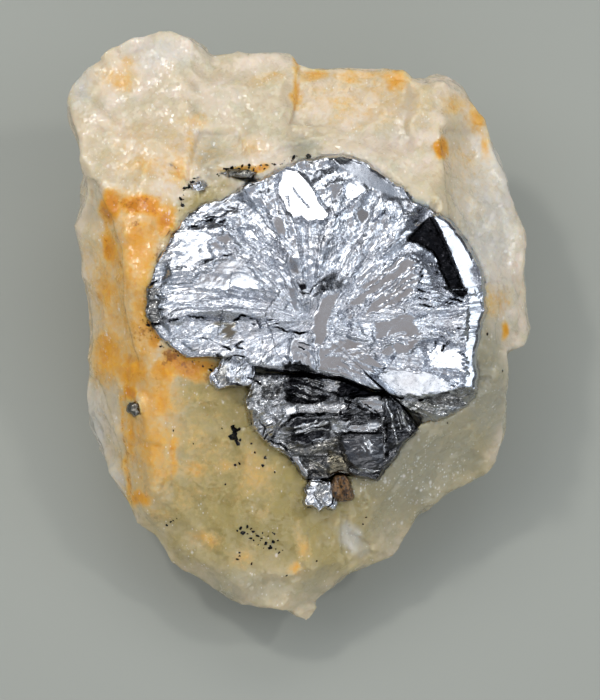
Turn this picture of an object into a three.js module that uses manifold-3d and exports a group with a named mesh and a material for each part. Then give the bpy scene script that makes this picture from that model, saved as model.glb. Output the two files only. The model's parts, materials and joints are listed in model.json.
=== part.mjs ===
// A molybdenite specimen: a bright, crumpled rosette of molybdenite and a darker book of plates below it, grown on
// a broken piece of milky quartz. It lies on its back, on a broken face, with the rosette up.
// Millimetres, +Z up, +Y to the back. The origin is near the middle of the face that it rests on.
import * as THREE from "three";
import { ImprovedNoise } from "three/addons/math/ImprovedNoise.js";
import { mergeVertices } from "three/addons/utils/BufferGeometryUtils.js";
import Module from "manifold-3d";

// The specimen is shaped as a relief on the plane of its display face. A point of the relief is [across, up, out]:
// across and up as it looks from straight in front of the face, and out towards the eye.
const FACE_LEAN = THREE.MathUtils.degToRad(15); // the display face leans back this much from lying level
const FACE_HEIGHT = 12; // of the middle of the face's plane, over the surface that the stone rests on
const FACE_SETBACK = -5; // of the same point, from the origin along Y
const EYE_DISTANCE = 190; // outlines are as seen from here, so what stands nearer the eye is a little smaller
const SEAT_GAP = 0.3; // between a crystal and the pocket that it sits in
const SEAT_DEPTH = 1.2; // how far a crystal reaches into the quartz
const SEAT_MOUTH = 30; // a level that is out past every crystal, where the pockets are open
const THINNEST = 0.8; // the least thickness of the quartz, at its edges

// Outlines run anticlockwise, as [across, up].
const MATRIX_OUTLINE = [
  // bottom point and lower right
  [0.7, -24.7], [1.5, -23.6], [2.4, -22.1], [4.3, -20.1], [6.2, -19.6], [8.5, -17.9], [10, -16], [10.6, -14.9],
  [12.8, -13.3], [16.1, -11.5], [17.6, -10.5], [18.8, -7.4], [19.2, -5.1], [19, -3.7], [19.1, -1.8], [18.7, -0.2],
  // back block on the right
  [20.5, 0.5], [20.3, 3.2], [20.7, 5.5], [20.3, 7.1], [20.2, 10], [19.4, 12.9], [18.8, 15.4], [17.8, 18.3],
  [16.8, 20.9], [15.1, 22.7], [14.1, 24], [13.1, 24.5], [10.2, 24.3],
  // top edge, in three steps
  [9.5, 25.3], [7.3, 25.5], [5.5, 25.6], [2.4, 25.6], [-0.2, 25.6], [-0.8, 26.7], [-3.8, 27], [-8.2, 26.8],
  [-8.6, 27.6], [-9.9, 28.6], [-11.6, 29.2], [-13.1, 29.1], [-15.3, 28.6], [-17.7, 27.2], [-19.8, 25.5],
  [-21, 23.9],
  // left side, with its two back lobes
  [-20.9, 21.3], [-20.3, 19.1], [-19.6, 15.5], [-19.7, 13.4], [-20.7, 11.3], [-20, 8.4], [-19.5, 5], [-19.1, 0.8],
  [-18.9, -1.3], [-19.4, -3.4], [-18.8, -7.5], [-17, -11.3], [-15.9, -14.2], [-15.3, -16.1],
  // lower left
  [-13.3, -17.1], [-11.6, -19.2], [-8.9, -21.3], [-6.6, -22.8], [-2.6, -23.5],
];
const ROSETTE_OUTLINE = [
  // right rim, top shoulder
  [15.9, -3.9], [16.1, -2.2], [15.9, -0.6], [16.4, 2.1], [16.7, 3.5], [16.7, 5], [16.5, 6.6], [16, 8.1], [15.2, 9.5],
  [14.2, 11], [13.2, 12], [12.1, 12.8], [10.2, 13.5], [9.4, 14.7], [8.2, 15.5], [6.1, 16.9], [4.7, 17.5], [3.6, 17.6],
  [2.4, 17.5], [0, 17.1], [-2, 16.3],
  // upper left edge, down to the left point
  [-3.3, 15.5], [-4.5, 15.2], [-7, 13.7], [-8.7, 13.3], [-10.1, 12.4], [-11.7, 10.4], [-12.9, 8.1], [-13.9, 5.6],
  [-14.1, 3.6], [-13.5, 2.2],
  // lower edge, and the folded skirt at the lower right
  [-12.7, 1.1], [-10.2, -0.7], [-8.3, -0.6], [-6.3, -0.7], [-5.1, -1.2], [-3.2, -1.6], [-1.5, -1.8], [0.1, -1.9],
  [3.7, -2.4], [5.1, -2.9], [6.5, -3.5], [8.4, -3.6], [9.5, -4.7], [11.1, -6.6], [12.5, -6.4], [13.9, -5.8],
  [15.2, -4.9],
];
const BOOK_OUTLINE = [
  // right wedge, and up under the rosette's lower edge
  [8.7, -9.7], [9.3, -8.5], [10.8, -7.2], [9.1, -5], [8.1, -4], [6.4, -3.9], [4.9, -3.3], [3.5, -2.8], [0, -2.3],
  [-2, -2.3],
  // left lobe, and the lower edge to the knob at the lower right
  [-4.1, -2.3], [-4.9, -4.6], [-4.5, -6.8], [-2.8, -8.6], [-1.1, -9.6], [-0.2, -11], [0.5, -11.7], [2.4, -11.7],
  [3.5, -11.1], [5.8, -11.5], [6.9, -11.8], [7.8, -10.6],
];

// Broken faces of the quartz. Each passes through `at`, and rises towards the eye by `across` and `up` mm a mm.
const FRONT_FACES = [
  { at: [-10, 8, 9], across: 0.02, up: -0.1 }, // level ground beside the rosette
  { at: [0, 15, 8.1], across: 0, up: -0.5 }, // upper slope
  { at: [-16.3, 7.1, 8], across: 1.5, up: 0.38 }, // left side, behind the long crease
  { at: [0, -8, 6.6], across: 0.05, up: 0.24 }, // large lower face
  { at: [-11.4, -19, 1.2], across: 0.6, up: 0.75 }, // lower left edge
  { at: [10, -16, 1.2], across: -0.55, up: 0.65 }, // lower right edge
  { at: [14.5, 13.6, 6], across: -1.3, up: -0.34 }, // right side, down to the back block
];
const RIGHT_BLOCK_FACES = [
  { at: [16, 12, 2.6], across: -0.35, up: -0.1 },
  { at: [16, 0.4, 0.6], across: 0, up: 3 },
  { at: [12, 12, 2.6], across: 2, up: 0 },
];
const UPPER_LEFT_LUMP_FACES = [
  { at: [-14, 24, 4.4], across: 0.1, up: -0.25 },
  { at: [-9.2, 24, 3.6], across: -1.6, up: 0 },
  { at: [-14, 20.5, 4.9], across: 0, up: 1.2 },
];
const MATRIX_MIDDLE = [1, 3];
const LOW_GROUND = -2.2; // what the back lobes on the left fall to
const CHIP_SIZE = 5.4; // across one flat chip of a broken face
const CHIP_STEP = 0.5; // how far one chip may stand over the next
const CHIP_TILT = 0.25;
const TOP_STEP = { left: -1, right: 10, from: 17, to: 19, drop: 0.7 }; // the shelf along the top edge
const FRONT_ROUGHNESS = [{ depth: 0.4, size: 6, seed: 3.1 }, { depth: 0.25, size: 1.9, seed: 8.4 }];
const UNDER_ROUGHNESS = [{ depth: 0.9, size: 6, seed: 14.2 }, { depth: 0.35, size: 2.2, seed: 21.7 }];
const UNDER_FACES = [
  { at: [0, -24, 0.6], across: 0, up: -1.05 },
  { at: [-12.5, -18, -0.6], across: -0.7, up: -0.85 },
  { at: [12, -14.5, -0.8], across: 0.8, up: -0.8 },
  { at: [-19, 5, -4], across: -1.5, up: 0.1 },
  { at: [19.6, 5, -2.5], across: 1.7, up: 0.1 },
  { at: [0, 26.5, -2.4], across: 0, up: 1.7 },
  { at: [-16, 25, -2.2], across: -1.1, up: 1.1 },
  { at: [15, 21, -2.4], across: 1.2, up: 1 },
];

const HUB = [0.8, 2.6]; // where the rosette's pleats meet
const ROSETTE_OUT = 10.3; // at the hub
const ROSETTE_FLOOR = 6;
const PLEATS = [{ depth: 0.3, count: 11, sway: 1 }, { depth: 0.17, count: 29, sway: 2 }];
const PLEATS_FULL = 7; // how far from the hub the pleats reach their full depth
const PLEAT_SWAY = { depth: 0.7, size: 5, seed: 31.3 };
const HUB_DISH = { depth: 0.5, radius: 4 };
const LEFT_RISE = 0.03; // a mm, on the left of the hub
const DOME = 0.0045; // how the face falls away with the square of the distance from the hub
const SHOULDER = { from: 0.88, drop: 1.1 }; // the rounded rim, as a share of the way out
const TERRACE_DROP = 0.55; // below the crack
const GROOVE = { depth: 1.1, width: 1.4 };
const RIM_RIDGE = { height: 0.6, width: 1.5 };
// The fold down at the lower right.
const SKIRT = { left: 7.5, ramp: 1.5, top: -3.3, slant: 0.08, height: 3.2, drop: 4 };
const CRACK = [[-13.8, 2.3], [-9.5, 3.1], [-7.3, 2.7], [-5, 3.1], [-3.5, 2.5], [-0.9, 1.8]];
const DARK_GROOVE = [[11.4, 11.7], [12.6, 9], [14.6, 5]];
const BRIGHT_RIM = [[13.2, 11.2], [15.2, 8.2], [15.9, 4.6], [15.6, 1.4]];
const BOOK_MIDDLE = [2.6, -7];
const BOOK_OUT = 9.4;
const BOOK_FLOOR = 4.8;
const BOOK_SLOPE = 0.36; // it falls to the front, from BOOK_TOP_LINE
const BOOK_TOP_LINE = -3;
const BOOK_LAYERS = { height: 0.16, spacing: 1.1, slant: 0.12, sway: { depth: 0.5, size: 3, seed: 40.7 } };
const BOOK_LUMPS = [
  { at: [6, -9.6], radius: 2.7, height: 1.5 }, // the knob at the lower right
  { at: [-3, -6.2], radius: 2.6, height: 0.9 }, // the left lobe
];
const BOOK_CREVICE = { from: -4.6, fall: 1.2, depth: 1.2, middle: 1, reach: 6 }; // under the rosette's edge
const BOOK_ROUGHNESS = { depth: 0.45, size: 1.3, seed: 52.9 };
const RAGGED = 0.09; // how far a small crystal's outline wanders, as a share of its size
const BEVEL = 0.3; // of a small crystal's edge, as a share of its thickness

const wasm = await Module();
wasm.setup();
const noise = new ImprovedNoise();
const rough = (across, up, { depth, size, seed }) => depth * noise.noise(across / size, up / size, seed);
const zigzag = (x) => 4 * Math.abs(x - Math.floor(x + 0.5)) - 1;
const clamp01 = (x) => THREE.MathUtils.clamp(x, 0, 1);

// Turns a seen point into its place in the relief's own space.
const lay = (across, up, out) => {
  const nearer = 1 - out / EYE_DISTANCE;
  return [across * nearer, up * nearer, out];
};

const faceOut = ({ at, across, up }, p, q) => at[2] + across * (p - at[0]) + up * (q - at[1]);
const lowestFace = (faces, p, q) => Math.min(...faces.map((face) => faceOut(face, p, q)));
const highestFace = (faces, p, q) => Math.max(...faces.map((face) => faceOut(face, p, q)));

// How far a point is from a line of points, in the plane of the face.
function distanceTo(line, p, q) {
  const point = new THREE.Vector3(p, q, 0);
  const near = new THREE.Vector3();
  const gaps = line.slice(1).map((end, i) => {
    const stretch = new THREE.Line3(new THREE.Vector3(...line[i], 0), new THREE.Vector3(...end, 0));
    return stretch.closestPointToPoint(point, true, near).distanceTo(point);
  });
  return Math.min(...gaps);
}

// The height of a line of points over one place across.
function lineUp(line, p) {
  const i = Math.max(1, line.findIndex(([across]) => across >= p));
  const [[p0, q0], [p1, q1]] = [line[i - 1], line[i]];
  return q0 + (q1 - q0) * clamp01((p - p0) / (p1 - p0));
}

// Flat chips, each tilted its own way, with small ledges between them.
function chips(p, q) {
  const [i, j] = [Math.floor(p / CHIP_SIZE), Math.floor(q / CHIP_SIZE)];
  let nearest = Infinity;
  let height = 0;
  for (const cell of [-1, 0, 1].flatMap((di) => [-1, 0, 1].map((dj) => [i + di, j + dj]))) {
    const toss = (seed) => noise.noise(cell[0] * 1.37 + 0.5, cell[1] * 1.71 + 0.5, seed);
    const dp = p - (cell[0] + 0.5 + toss(1.3)) * CHIP_SIZE;
    const dq = q - (cell[1] + 0.5 + toss(2.6)) * CHIP_SIZE;
    if (Math.hypot(dp, dq) < nearest) {
      nearest = Math.hypot(dp, dq);
      height = CHIP_STEP * toss(3.9) + CHIP_TILT * (toss(5.2) * dp + toss(6.5) * dq);
    }
  }
  return height;
}

// The broken faces without their chips.
function quartzBase(p, q) {
  const front = lowestFace(FRONT_FACES, p, q);
  const back = Math.max(lowestFace(RIGHT_BLOCK_FACES, p, q), LOW_GROUND);
  const blocks = Math.max(front, back, lowestFace(UPPER_LEFT_LUMP_FACES, p, q));
  const onStep = p > TOP_STEP.left && p < TOP_STEP.right;
  return blocks - (onStep ? TOP_STEP.drop * clamp01((q - TOP_STEP.from) / (TOP_STEP.to - TOP_STEP.from)) : 0);
}

const allRoughness = (kinds, p, q) => kinds.reduce((sum, kind) => sum + rough(p, q, kind), 0);
const quartzTop = (p, q) => quartzBase(p, q) + chips(p, q) + allRoughness(FRONT_ROUGHNESS, p, q);

function quartzUnder(p, q) {
  const broken = highestFace(UNDER_FACES, p, q) + allRoughness(UNDER_ROUGHNESS, p, q);
  return Math.min(broken, quartzTop(p, q) - THINNEST);
}

// The floor of a crystal, which reaches down into the quartz.
const seat = (out) => (p, q) => Math.min(out, quartzBase(p, q) - SEAT_DEPTH);

function rosetteTop(p, q, share) {
  const [dp, dq] = [p - HUB[0], q - HUB[1]];
  const turn = Math.atan2(dq, dp) / (2 * Math.PI);
  const reach = Math.hypot(dp, dq);
  const drift = rough(p, q, PLEAT_SWAY);
  const folded = PLEATS.reduce((sum, { depth, count, sway }) => sum + depth * zigzag(count * turn + sway * drift), 0);
  const pleats = folded * clamp01(reach / PLEATS_FULL);
  const dish = -HUB_DISH.depth * clamp01(1 - reach / HUB_DISH.radius) - LEFT_RISE * dp * clamp01(-p);
  const dome = -DOME * reach ** 2;
  const shoulder = -SHOULDER.drop * clamp01((share - SHOULDER.from) / (1 - SHOULDER.from)) ** 2;
  const terrace = p < CRACK.at(-1)[0] && q < lineUp(CRACK, p) ? -TERRACE_DROP : 0;
  const groove = -GROOVE.depth * clamp01(GROOVE.width - distanceTo(DARK_GROOVE, p, q));
  const rim = RIM_RIDGE.height * clamp01(RIM_RIDGE.width - distanceTo(BRIGHT_RIM, p, q));
  const below = clamp01((SKIRT.top - SKIRT.slant * (p - SKIRT.left) - q) / SKIRT.height);
  const skirt = -SKIRT.drop * below * clamp01((p - SKIRT.left) / SKIRT.ramp);
  return ROSETTE_OUT + pleats + dish + dome + shoulder + terrace + groove + rim + skirt;
}

function bookTop(p, q) {
  const { height, spacing, slant, sway } = BOOK_LAYERS;
  const slope = BOOK_SLOPE * (q - BOOK_TOP_LINE);
  const layers = height * zigzag((q + slant * p + rough(p, q, sway)) / spacing);
  const lump = ({ at, radius, height }) => height * Math.max(0, 1 - (Math.hypot(p - at[0], q - at[1]) / radius) ** 2);
  const lumps = BOOK_LUMPS.reduce((sum, one) => sum + lump(one), 0);
  const { from, fall, depth, middle, reach } = BOOK_CREVICE;
  const crevice = -depth * clamp01((q - from) / fall) * clamp01(1 - Math.abs(p - middle) / reach);
  return BOOK_OUT + slope + layers + lumps + crevice + rough(p, q, BOOK_ROUGHNESS);
}

// Points along a closed outline, with one at each corner and none further apart than `step`.
function walk(outline, step) {
  return outline.flatMap(([p, q], i) => {
    const [p1, q1] = outline[(i + 1) % outline.length];
    const parts = Math.ceil(Math.hypot(p1 - p, q1 - q) / step);
    return Array.from({ length: parts }, (_, k) => [p + ((p1 - p) * k) / parts, q + ((q1 - q) * k) / parts]);
  });
}

// A closed relief: rings step from the middle out to the outline along `top`, and back to the middle along `floor`.
function reliefGeometry({ outline, middle, step, topRings, floorRings, top, floor }) {
  const edge = walk(outline, step);
  const columns = edge.length;
  const points = [lay(...middle, top(...middle, 0))];
  const addRing = (share, height) => {
    for (const [p, q] of edge) {
      const [across, up] = [middle[0] + share * (p - middle[0]), middle[1] + share * (q - middle[1])];
      points.push(lay(across, up, height(across, up, share)));
    }
  };
  topRings.forEach((share) => addRing(share, top));
  floorRings.forEach((share) => addRing(share, floor));
  points.push(lay(...middle, floor(...middle, 0)));

  const faces = [];
  const rings = topRings.length + floorRings.length;
  const last = points.length - 1;
  for (let j = 0; j < columns; j++) {
    const next = (j + 1) % columns;
    faces.push([0, 1 + j, 1 + next]);
    for (let r = 0; r < rings - 1; r++) {
      const [here, beyond] = [1 + r * columns, 1 + (r + 1) * columns];
      faces.push([here + j, beyond + j, beyond + next], [here + j, beyond + next, here + next]);
    }
    faces.push([last, last - columns + next, last - columns + j]);
  }
  const geometry = new THREE.BufferGeometry();
  geometry.setAttribute("position", new THREE.Float32BufferAttribute(points.flat(), 3));
  geometry.setIndex(faces.flat());
  return geometry;
}

// Moves each corner of an outline outwards.
function grown(outline, by) {
  const n = outline.length;
  return outline.map(([p, q], i) => {
    const [before, after] = [outline[(i + n - 1) % n], outline[(i + 1) % n]];
    const [dp, dq] = [after[0] - before[0], after[1] - before[1]];
    const length = Math.hypot(dp, dq);
    return [p + (by * dq) / length, q - (by * dp) / length];
  });
}

function solidOf(geometry) {
  geometry.deleteAttribute("normal");
  geometry.deleteAttribute("uv");
  const merged = mergeVertices(geometry, 1e-5);
  const mesh = { numProp: 3, vertProperties: merged.attributes.position.array };
  return new wasm.Manifold(new wasm.Mesh({ ...mesh, triVerts: new Uint32Array(merged.index.array) }));
}

function geometryOf(solid) {
  const { vertProperties, triVerts } = solid.getMesh();
  const geometry = new THREE.BufferGeometry();
  geometry.setAttribute("position", new THREE.Float32BufferAttribute(vertProperties, 3));
  geometry.setIndex(new THREE.BufferAttribute(triVerts, 1));
  return geometry;
}

const rosetteShape = {
  outline: ROSETTE_OUTLINE,
  middle: HUB,
  step: 0.9,
  topRings: [0.16, 0.33, 0.48, 0.61, 0.72, 0.82, 0.9, 0.95, 1],
  floorRings: [1, 0.5],
  top: rosetteTop,
  floor: seat(ROSETTE_FLOOR),
};
const bookShape = {
  outline: BOOK_OUTLINE,
  middle: BOOK_MIDDLE,
  step: 0.8,
  topRings: [0.2, 0.36, 0.52, 0.67, 0.8, 0.9, 1],
  floorRings: [1, 0.5],
  top: bookTop,
  floor: seat(BOOK_FLOOR),
};

// The pocket that a crystal sits in, open towards the eye.
function pocket(shape) {
  const floor = (p, q) => shape.floor(p, q) - SEAT_GAP;
  const outline = grown(shape.outline, SEAT_GAP);
  return solidOf(reliefGeometry({ ...shape, outline, step: 1.6, topRings: [1], top: () => SEAT_MOUTH, floor }));
}

// A small crystal: a plate or block with a bevelled edge, over a rough outline of `sides` corners.
function smallShape({ at, size, sides, turn, thickness, slant }) {
  const outline = Array.from({ length: sides }, (_, i) => {
    const angle = turn + (2 * Math.PI * i) / sides;
    const reach = 0.5 + RAGGED * Math.sin(5.3 * i + at[0]);
    return [at[0] + size[0] * reach * Math.cos(angle), at[1] + size[1] * reach * Math.sin(angle)];
  });
  const level = quartzTop(...at) + thickness;
  const top = (p, q, share) => {
    const face = level + slant[0] * (p - at[0]) + slant[1] * (q - at[1]) - BEVEL * thickness * clamp01(share - 0.6);
    return Math.max(face, quartzTop(p, q) + BEVEL * thickness);
  };
  return { outline, middle: at, step: 0.8, topRings: [0.7, 1], floorRings: [1], top, floor: seat(level) };
}

// Everything below the surface that the stone rests on, in the relief's own space.
function groundSolid(toSpecimen) {
  const side = 120;
  return solidOf(new THREE.BoxGeometry(side, side, side).translate(0, 0, -side / 2).applyMatrix4(toSpecimen));
}

function quartzGeometry(seatedShapes, ground) {
  const stone = reliefGeometry({
    outline: MATRIX_OUTLINE,
    middle: MATRIX_MIDDLE,
    step: 1.7,
    topRings: [0.35, 0.52, 0.6, 0.67, 0.74, 0.8, 0.86, 0.92, 0.97, 1],
    floorRings: [0.995, 0.95, 0.86, 0.74, 0.6],
    top: quartzTop,
    floor: quartzUnder,
  });
  const rested = solidOf(stone).subtract(ground);
  return geometryOf(seatedShapes.reduce((solid, shape) => solid.subtract(pocket(shape)), rested));
}

const silver = new THREE.MeshStandardMaterial({ color: 0xb9bcc4, metalness: 1, roughness: 0.22 });
const darkSilver = new THREE.MeshStandardMaterial({ color: 0x75777d, metalness: 1, roughness: 0.3 });
const milkyQuartz = new THREE.MeshStandardMaterial({ color: 0xd6c8a2, metalness: 0, roughness: 0.45 });
const brownMica = new THREE.MeshStandardMaterial({ color: 0x6d4f2a, metalness: 0, roughness: 0.4 });

const CRYSTALS = [
  { name: "molybdenite_rosette", material: silver, shape: rosetteShape },
  { name: "molybdenite_lower_book", material: darkSilver, shape: bookShape },
  { name: "molybdenite_tip_crystal", material: silver, shape: smallShape({
    at: [1.65, -13.2], size: [2.5, 2.4], sides: 7, turn: 0.3, thickness: 1.7, slant: [-0.1, -0.2] }) },
  { name: "molybdenite_left_knob", material: silver, shape: smallShape({
    at: [-6.35, -2.45], size: [3, 2.1], sides: 9, turn: 0.1, thickness: 1.7, slant: [0.1, -0.1] }) },
  { name: "mica_book", material: brownMica, shape: smallShape({
    at: [4, -12.75], size: [1.5, 2.1], sides: 7, turn: 0.6, thickness: 1.1, slant: [-0.2, 0.1] }) },
  { name: "molybdenite_edge_flake_left", material: silver, shape: smallShape({
    at: [-9.2, 14.8], size: [1.7, 0.9], sides: 6, turn: 0.4, thickness: 0.4, slant: [0, -0.2] }) },
  { name: "molybdenite_edge_flake_right", material: silver, shape: smallShape({
    at: [-5.7, 16.1], size: [3.4, 0.9], sides: 6, turn: 0.1, thickness: 0.4, slant: [0.1, -0.2] }) },
  { name: "molybdenite_stray_flake", material: darkSilver, shape: smallShape({
    at: [-14.9, -5.4], size: [1.2, 1.1], sides: 6, turn: 0.2, thickness: 0.35, slant: [0, 0] }) },
];

const specimen = new THREE.Group();
specimen.rotation.x = FACE_LEAN;
specimen.position.set(0, FACE_SETBACK, FACE_HEIGHT);
specimen.updateMatrix();
const add = (name, geometry, material) => {
  const mesh = new THREE.Mesh(geometry, material);
  mesh.name = name;
  specimen.add(mesh);
};
const ground = groundSolid(specimen.matrix.clone().invert());
add("quartz_matrix", quartzGeometry(CRYSTALS.map(({ shape }) => shape), ground), milkyQuartz);
CRYSTALS.forEach(({ name, material, shape }) => add(name, reliefGeometry(shape), material));

const part = new THREE.Group();
part.add(specimen);
export default part;
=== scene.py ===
"""The looks of a molybdenite specimen: crumpled silver crystals on broken, iron-stained milky quartz.

The stone was shaped as a relief on its display face. Places on it are given as seen from straight in front of
that face, in millimetres: across, up, and out towards the eye.
"""

import json
import logging
import math
from dataclasses import dataclass
from enum import Enum
from typing import Sequence

import bpy
import numpy as np
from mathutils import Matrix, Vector
from mathutils.bvhtree import BVHTree

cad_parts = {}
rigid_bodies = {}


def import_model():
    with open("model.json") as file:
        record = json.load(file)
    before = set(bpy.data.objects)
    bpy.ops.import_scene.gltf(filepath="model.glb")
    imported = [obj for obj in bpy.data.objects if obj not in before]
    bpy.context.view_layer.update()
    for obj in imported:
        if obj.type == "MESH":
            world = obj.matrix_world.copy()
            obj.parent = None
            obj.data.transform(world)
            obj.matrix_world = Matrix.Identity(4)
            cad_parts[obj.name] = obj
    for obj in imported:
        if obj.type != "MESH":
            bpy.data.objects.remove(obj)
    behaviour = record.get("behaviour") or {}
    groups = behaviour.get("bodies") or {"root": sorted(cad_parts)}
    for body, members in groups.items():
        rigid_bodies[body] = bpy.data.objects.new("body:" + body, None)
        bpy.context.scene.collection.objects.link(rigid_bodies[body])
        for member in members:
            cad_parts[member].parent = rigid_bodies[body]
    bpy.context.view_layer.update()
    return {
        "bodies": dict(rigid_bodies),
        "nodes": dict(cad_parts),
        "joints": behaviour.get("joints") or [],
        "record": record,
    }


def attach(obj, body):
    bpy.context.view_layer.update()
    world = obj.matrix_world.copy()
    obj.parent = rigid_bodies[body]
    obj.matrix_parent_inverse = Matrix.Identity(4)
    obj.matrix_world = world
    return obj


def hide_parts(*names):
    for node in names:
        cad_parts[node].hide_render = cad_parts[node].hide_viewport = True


LOG = logging.getLogger("specimen")
MM = 0.001
# the points of a line: across and up by turns, or as rows
Line = Sequence[float] | np.ndarray
Rows = Sequence[tuple[float, ...]]
Colour = tuple[float, float, float]
# the slope of a plate that throws the key lamp's light to the eye
TO_KEY = (0.31, -0.23)
# what scatter mixes a cell's place with
WORD = np.uint64(0xFFFFFFFF)
PRIMES = (73856093, 19349663, 83492791)


class Slot(Enum):
    """The record's material slots."""

    QUARTZ = "milky_quartz"
    BRIGHT = "bright_molybdenite"
    DARK = "dark_molybdenite"
    MICA = "brown_mica"


@dataclass(frozen=True)
class DisplayFace:
    """Where the display face is, and how points of the relief on it are laid in the part's frame."""

    lean: float = math.radians(15)
    height: float = 12.0
    setback: float = -5.0
    eye_distance: float = 190.0

    @property
    def axes(self) -> np.ndarray:
        """The across, up and out directions, as rows."""
        sine, cosine = math.sin(self.lean), math.cos(self.lean)
        return np.array([[1, 0, 0], [0, cosine, sine], [0, -sine, cosine]])

    @property
    def centre(self) -> np.ndarray:
        """The middle of the face's plane, in millimetres."""
        return np.array([0, self.setback, self.height])

    @property
    def eye(self) -> np.ndarray:
        """Where the face is seen from, in metres."""
        return (self.centre + self.eye_distance * self.axes[2]) * MM

    def to_part(self, seen: np.ndarray) -> np.ndarray:
        """Lays seen points in the part's frame.

        Args:
            seen: One row of across, up and out for each point, in millimetres.

        Returns:
            The same points in the part's frame, in metres.
        """
        nearer = 1 - seen[:, 2:] / self.eye_distance
        flat = np.hstack([seen[:, :2] * nearer, seen[:, 2:]])
        return (flat @ self.axes + self.centre) * MM

    def to_seen(self, points: np.ndarray) -> np.ndarray:
        """Turns points of the part's frame, in metres, into seen points, in millimetres.

        Args:
            points: One row for each point.

        Returns:
            One row of across, up and out for each point.
        """
        flat = (points / MM - self.centre) @ self.axes.T
        nearer = 1 - flat[:, 2:] / self.eye_distance
        return np.hstack([flat[:, :2] / nearer, flat[:, 2:]])


FACE = DisplayFace()


class Surface:
    """A mesh's surface that can be looked at from the eye."""

    def __init__(self, piece: bpy.types.Object) -> None:
        """Reads the mesh of a piece."""
        mesh = piece.data
        self.tree = BVHTree.FromPolygons([v.co for v in mesh.vertices], [p.vertices for p in mesh.polygons])

    def out_at(self, places: np.ndarray) -> np.ndarray:
        """Finds how far out the surface is under seen places.

        Args:
            places: One row of across and up for each place.

        Returns:
            The out value of each, or NaN where the eye sees past the mesh.
        """
        targets = FACE.to_part(np.column_stack([places, np.zeros(len(places))]))
        eye = Vector(FACE.eye)
        axis = FACE.axes[2]
        found = np.full(len(targets), np.nan)
        for i, target in enumerate(targets):
            hit = self.tree.ray_cast(eye, Vector(target) - eye)[0]
            if hit is not None:
                found[i] = (np.array(hit) / MM - FACE.centre) @ axis
        return found


def smooth_step(low: float, high: float, values: np.ndarray) -> np.ndarray:
    """Rises smoothly from 0 at low to 1 at high."""
    share = np.clip((values - low) / (high - low), 0, 1)
    return share * share * (3 - 2 * share)


def directions(turns: np.ndarray) -> np.ndarray:
    """The direction at each angle, as rows of across and up."""
    return np.stack([np.cos(turns), np.sin(turns)], axis=1)


def scatter(cells: Sequence[np.ndarray], seed: int) -> np.ndarray:
    """Gives each cell of a lattice its own number, from -1 to 1.

    Args:
        cells: The cells' whole-number places along each axis.
        seed: Another seed gives other numbers.

    Returns:
        One number for each cell.
    """
    mixed = np.full(cells[0].shape, (seed * 2654435761 + 12345) % 2**32, dtype=np.uint64)
    for cell, prime in zip(cells, PRIMES):
        mixed = mixed ^ ((cell.astype(np.int64).astype(np.uint64) * np.uint64(prime)) & WORD)
        for shift, factor in ((15, 739982445), (12, 695872825)):
            mixed = ((mixed ^ (mixed >> np.uint64(shift))) * np.uint64(factor)) & WORD
    return mixed.astype(float) / 2**31 - 1


def soft_noise(points: np.ndarray, size: float, seed: int) -> np.ndarray:
    """Smooth noise from -1 to 1, in any number of dimensions.

    Args:
        points: One row for each point.
        size: How far apart the noise's own lattice is, in the points' unit.
        seed: Another seed gives other noise.

    Returns:
        One number for each point.
    """
    scaled = points / size + 0.37 * seed
    cell = np.floor(scaled)
    share = scaled - cell
    share = share * share * (3 - 2 * share)
    total = np.zeros(len(points))
    for corner in np.ndindex(*(2,) * points.shape[1]):
        weight = np.prod(np.where(corner, share, 1 - share), axis=1)
        total += weight * scatter(list((cell + corner).T), seed)
    return total


def soft_shifts(points: np.ndarray, size: float, seeds: Sequence[int]) -> np.ndarray:
    """Smooth noises side by side, one column for each seed."""
    return np.stack([soft_noise(points, size, seed) for seed in seeds], axis=1)


def creased_noise(x: np.ndarray, y: np.ndarray, seed: int) -> np.ndarray:
    """Flat triangles that meet at creases, like crumpled foil, with heights from -1 to 1.

    Args:
        x: The points' first coordinate, in triangles.
        y: Their second.
        seed: Another seed gives other triangles.

    Returns:
        One height for each point.
    """
    column, row = np.floor(x), np.floor(y)
    a, b = x - column, y - row
    low = a > b
    corner = scatter([column, row], seed)
    opposite = scatter([column + 1, row + 1], seed)
    side = np.where(low, scatter([column + 1, row], seed), scatter([column, row + 1], seed))
    return (1 - np.maximum(a, b)) * corner + np.abs(a - b) * side + np.minimum(a, b) * opposite


def chipped(points: np.ndarray, size: float, depth: float, tilt: float, seed: int) -> np.ndarray:
    """Heights of broken stone: shallow scoops and tilted facets that meet at sharp edges.

    Args:
        points: One row of three for each point.
        size: About how wide a facet is.
        depth: How deep a scoop is.
        tilt: How steep a facet may be.
        seed: Another seed gives other facets.

    Returns:
        One height for each point.
    """
    cell = np.floor(points / size)
    height = np.full(len(points), np.inf)
    for offset in np.ndindex(3, 3, 3):
        place = cell + np.array(offset) - 1
        numbers = list(place.T)
        jitter = np.stack([scatter(numbers, seed + k) for k in range(3)], axis=1)
        away = points - (place + 0.5 + 0.45 * jitter) * size
        lean = np.stack([scatter(numbers, seed + 3 + k) for k in range(3)], axis=1)
        scoop = 4 * depth * (away**2).sum(axis=1) / size**2
        level = 1.2 * depth * scatter(numbers, seed + 6) + tilt * (away * lean).sum(axis=1)
        height = np.minimum(height, level + scoop)
    return height


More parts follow.
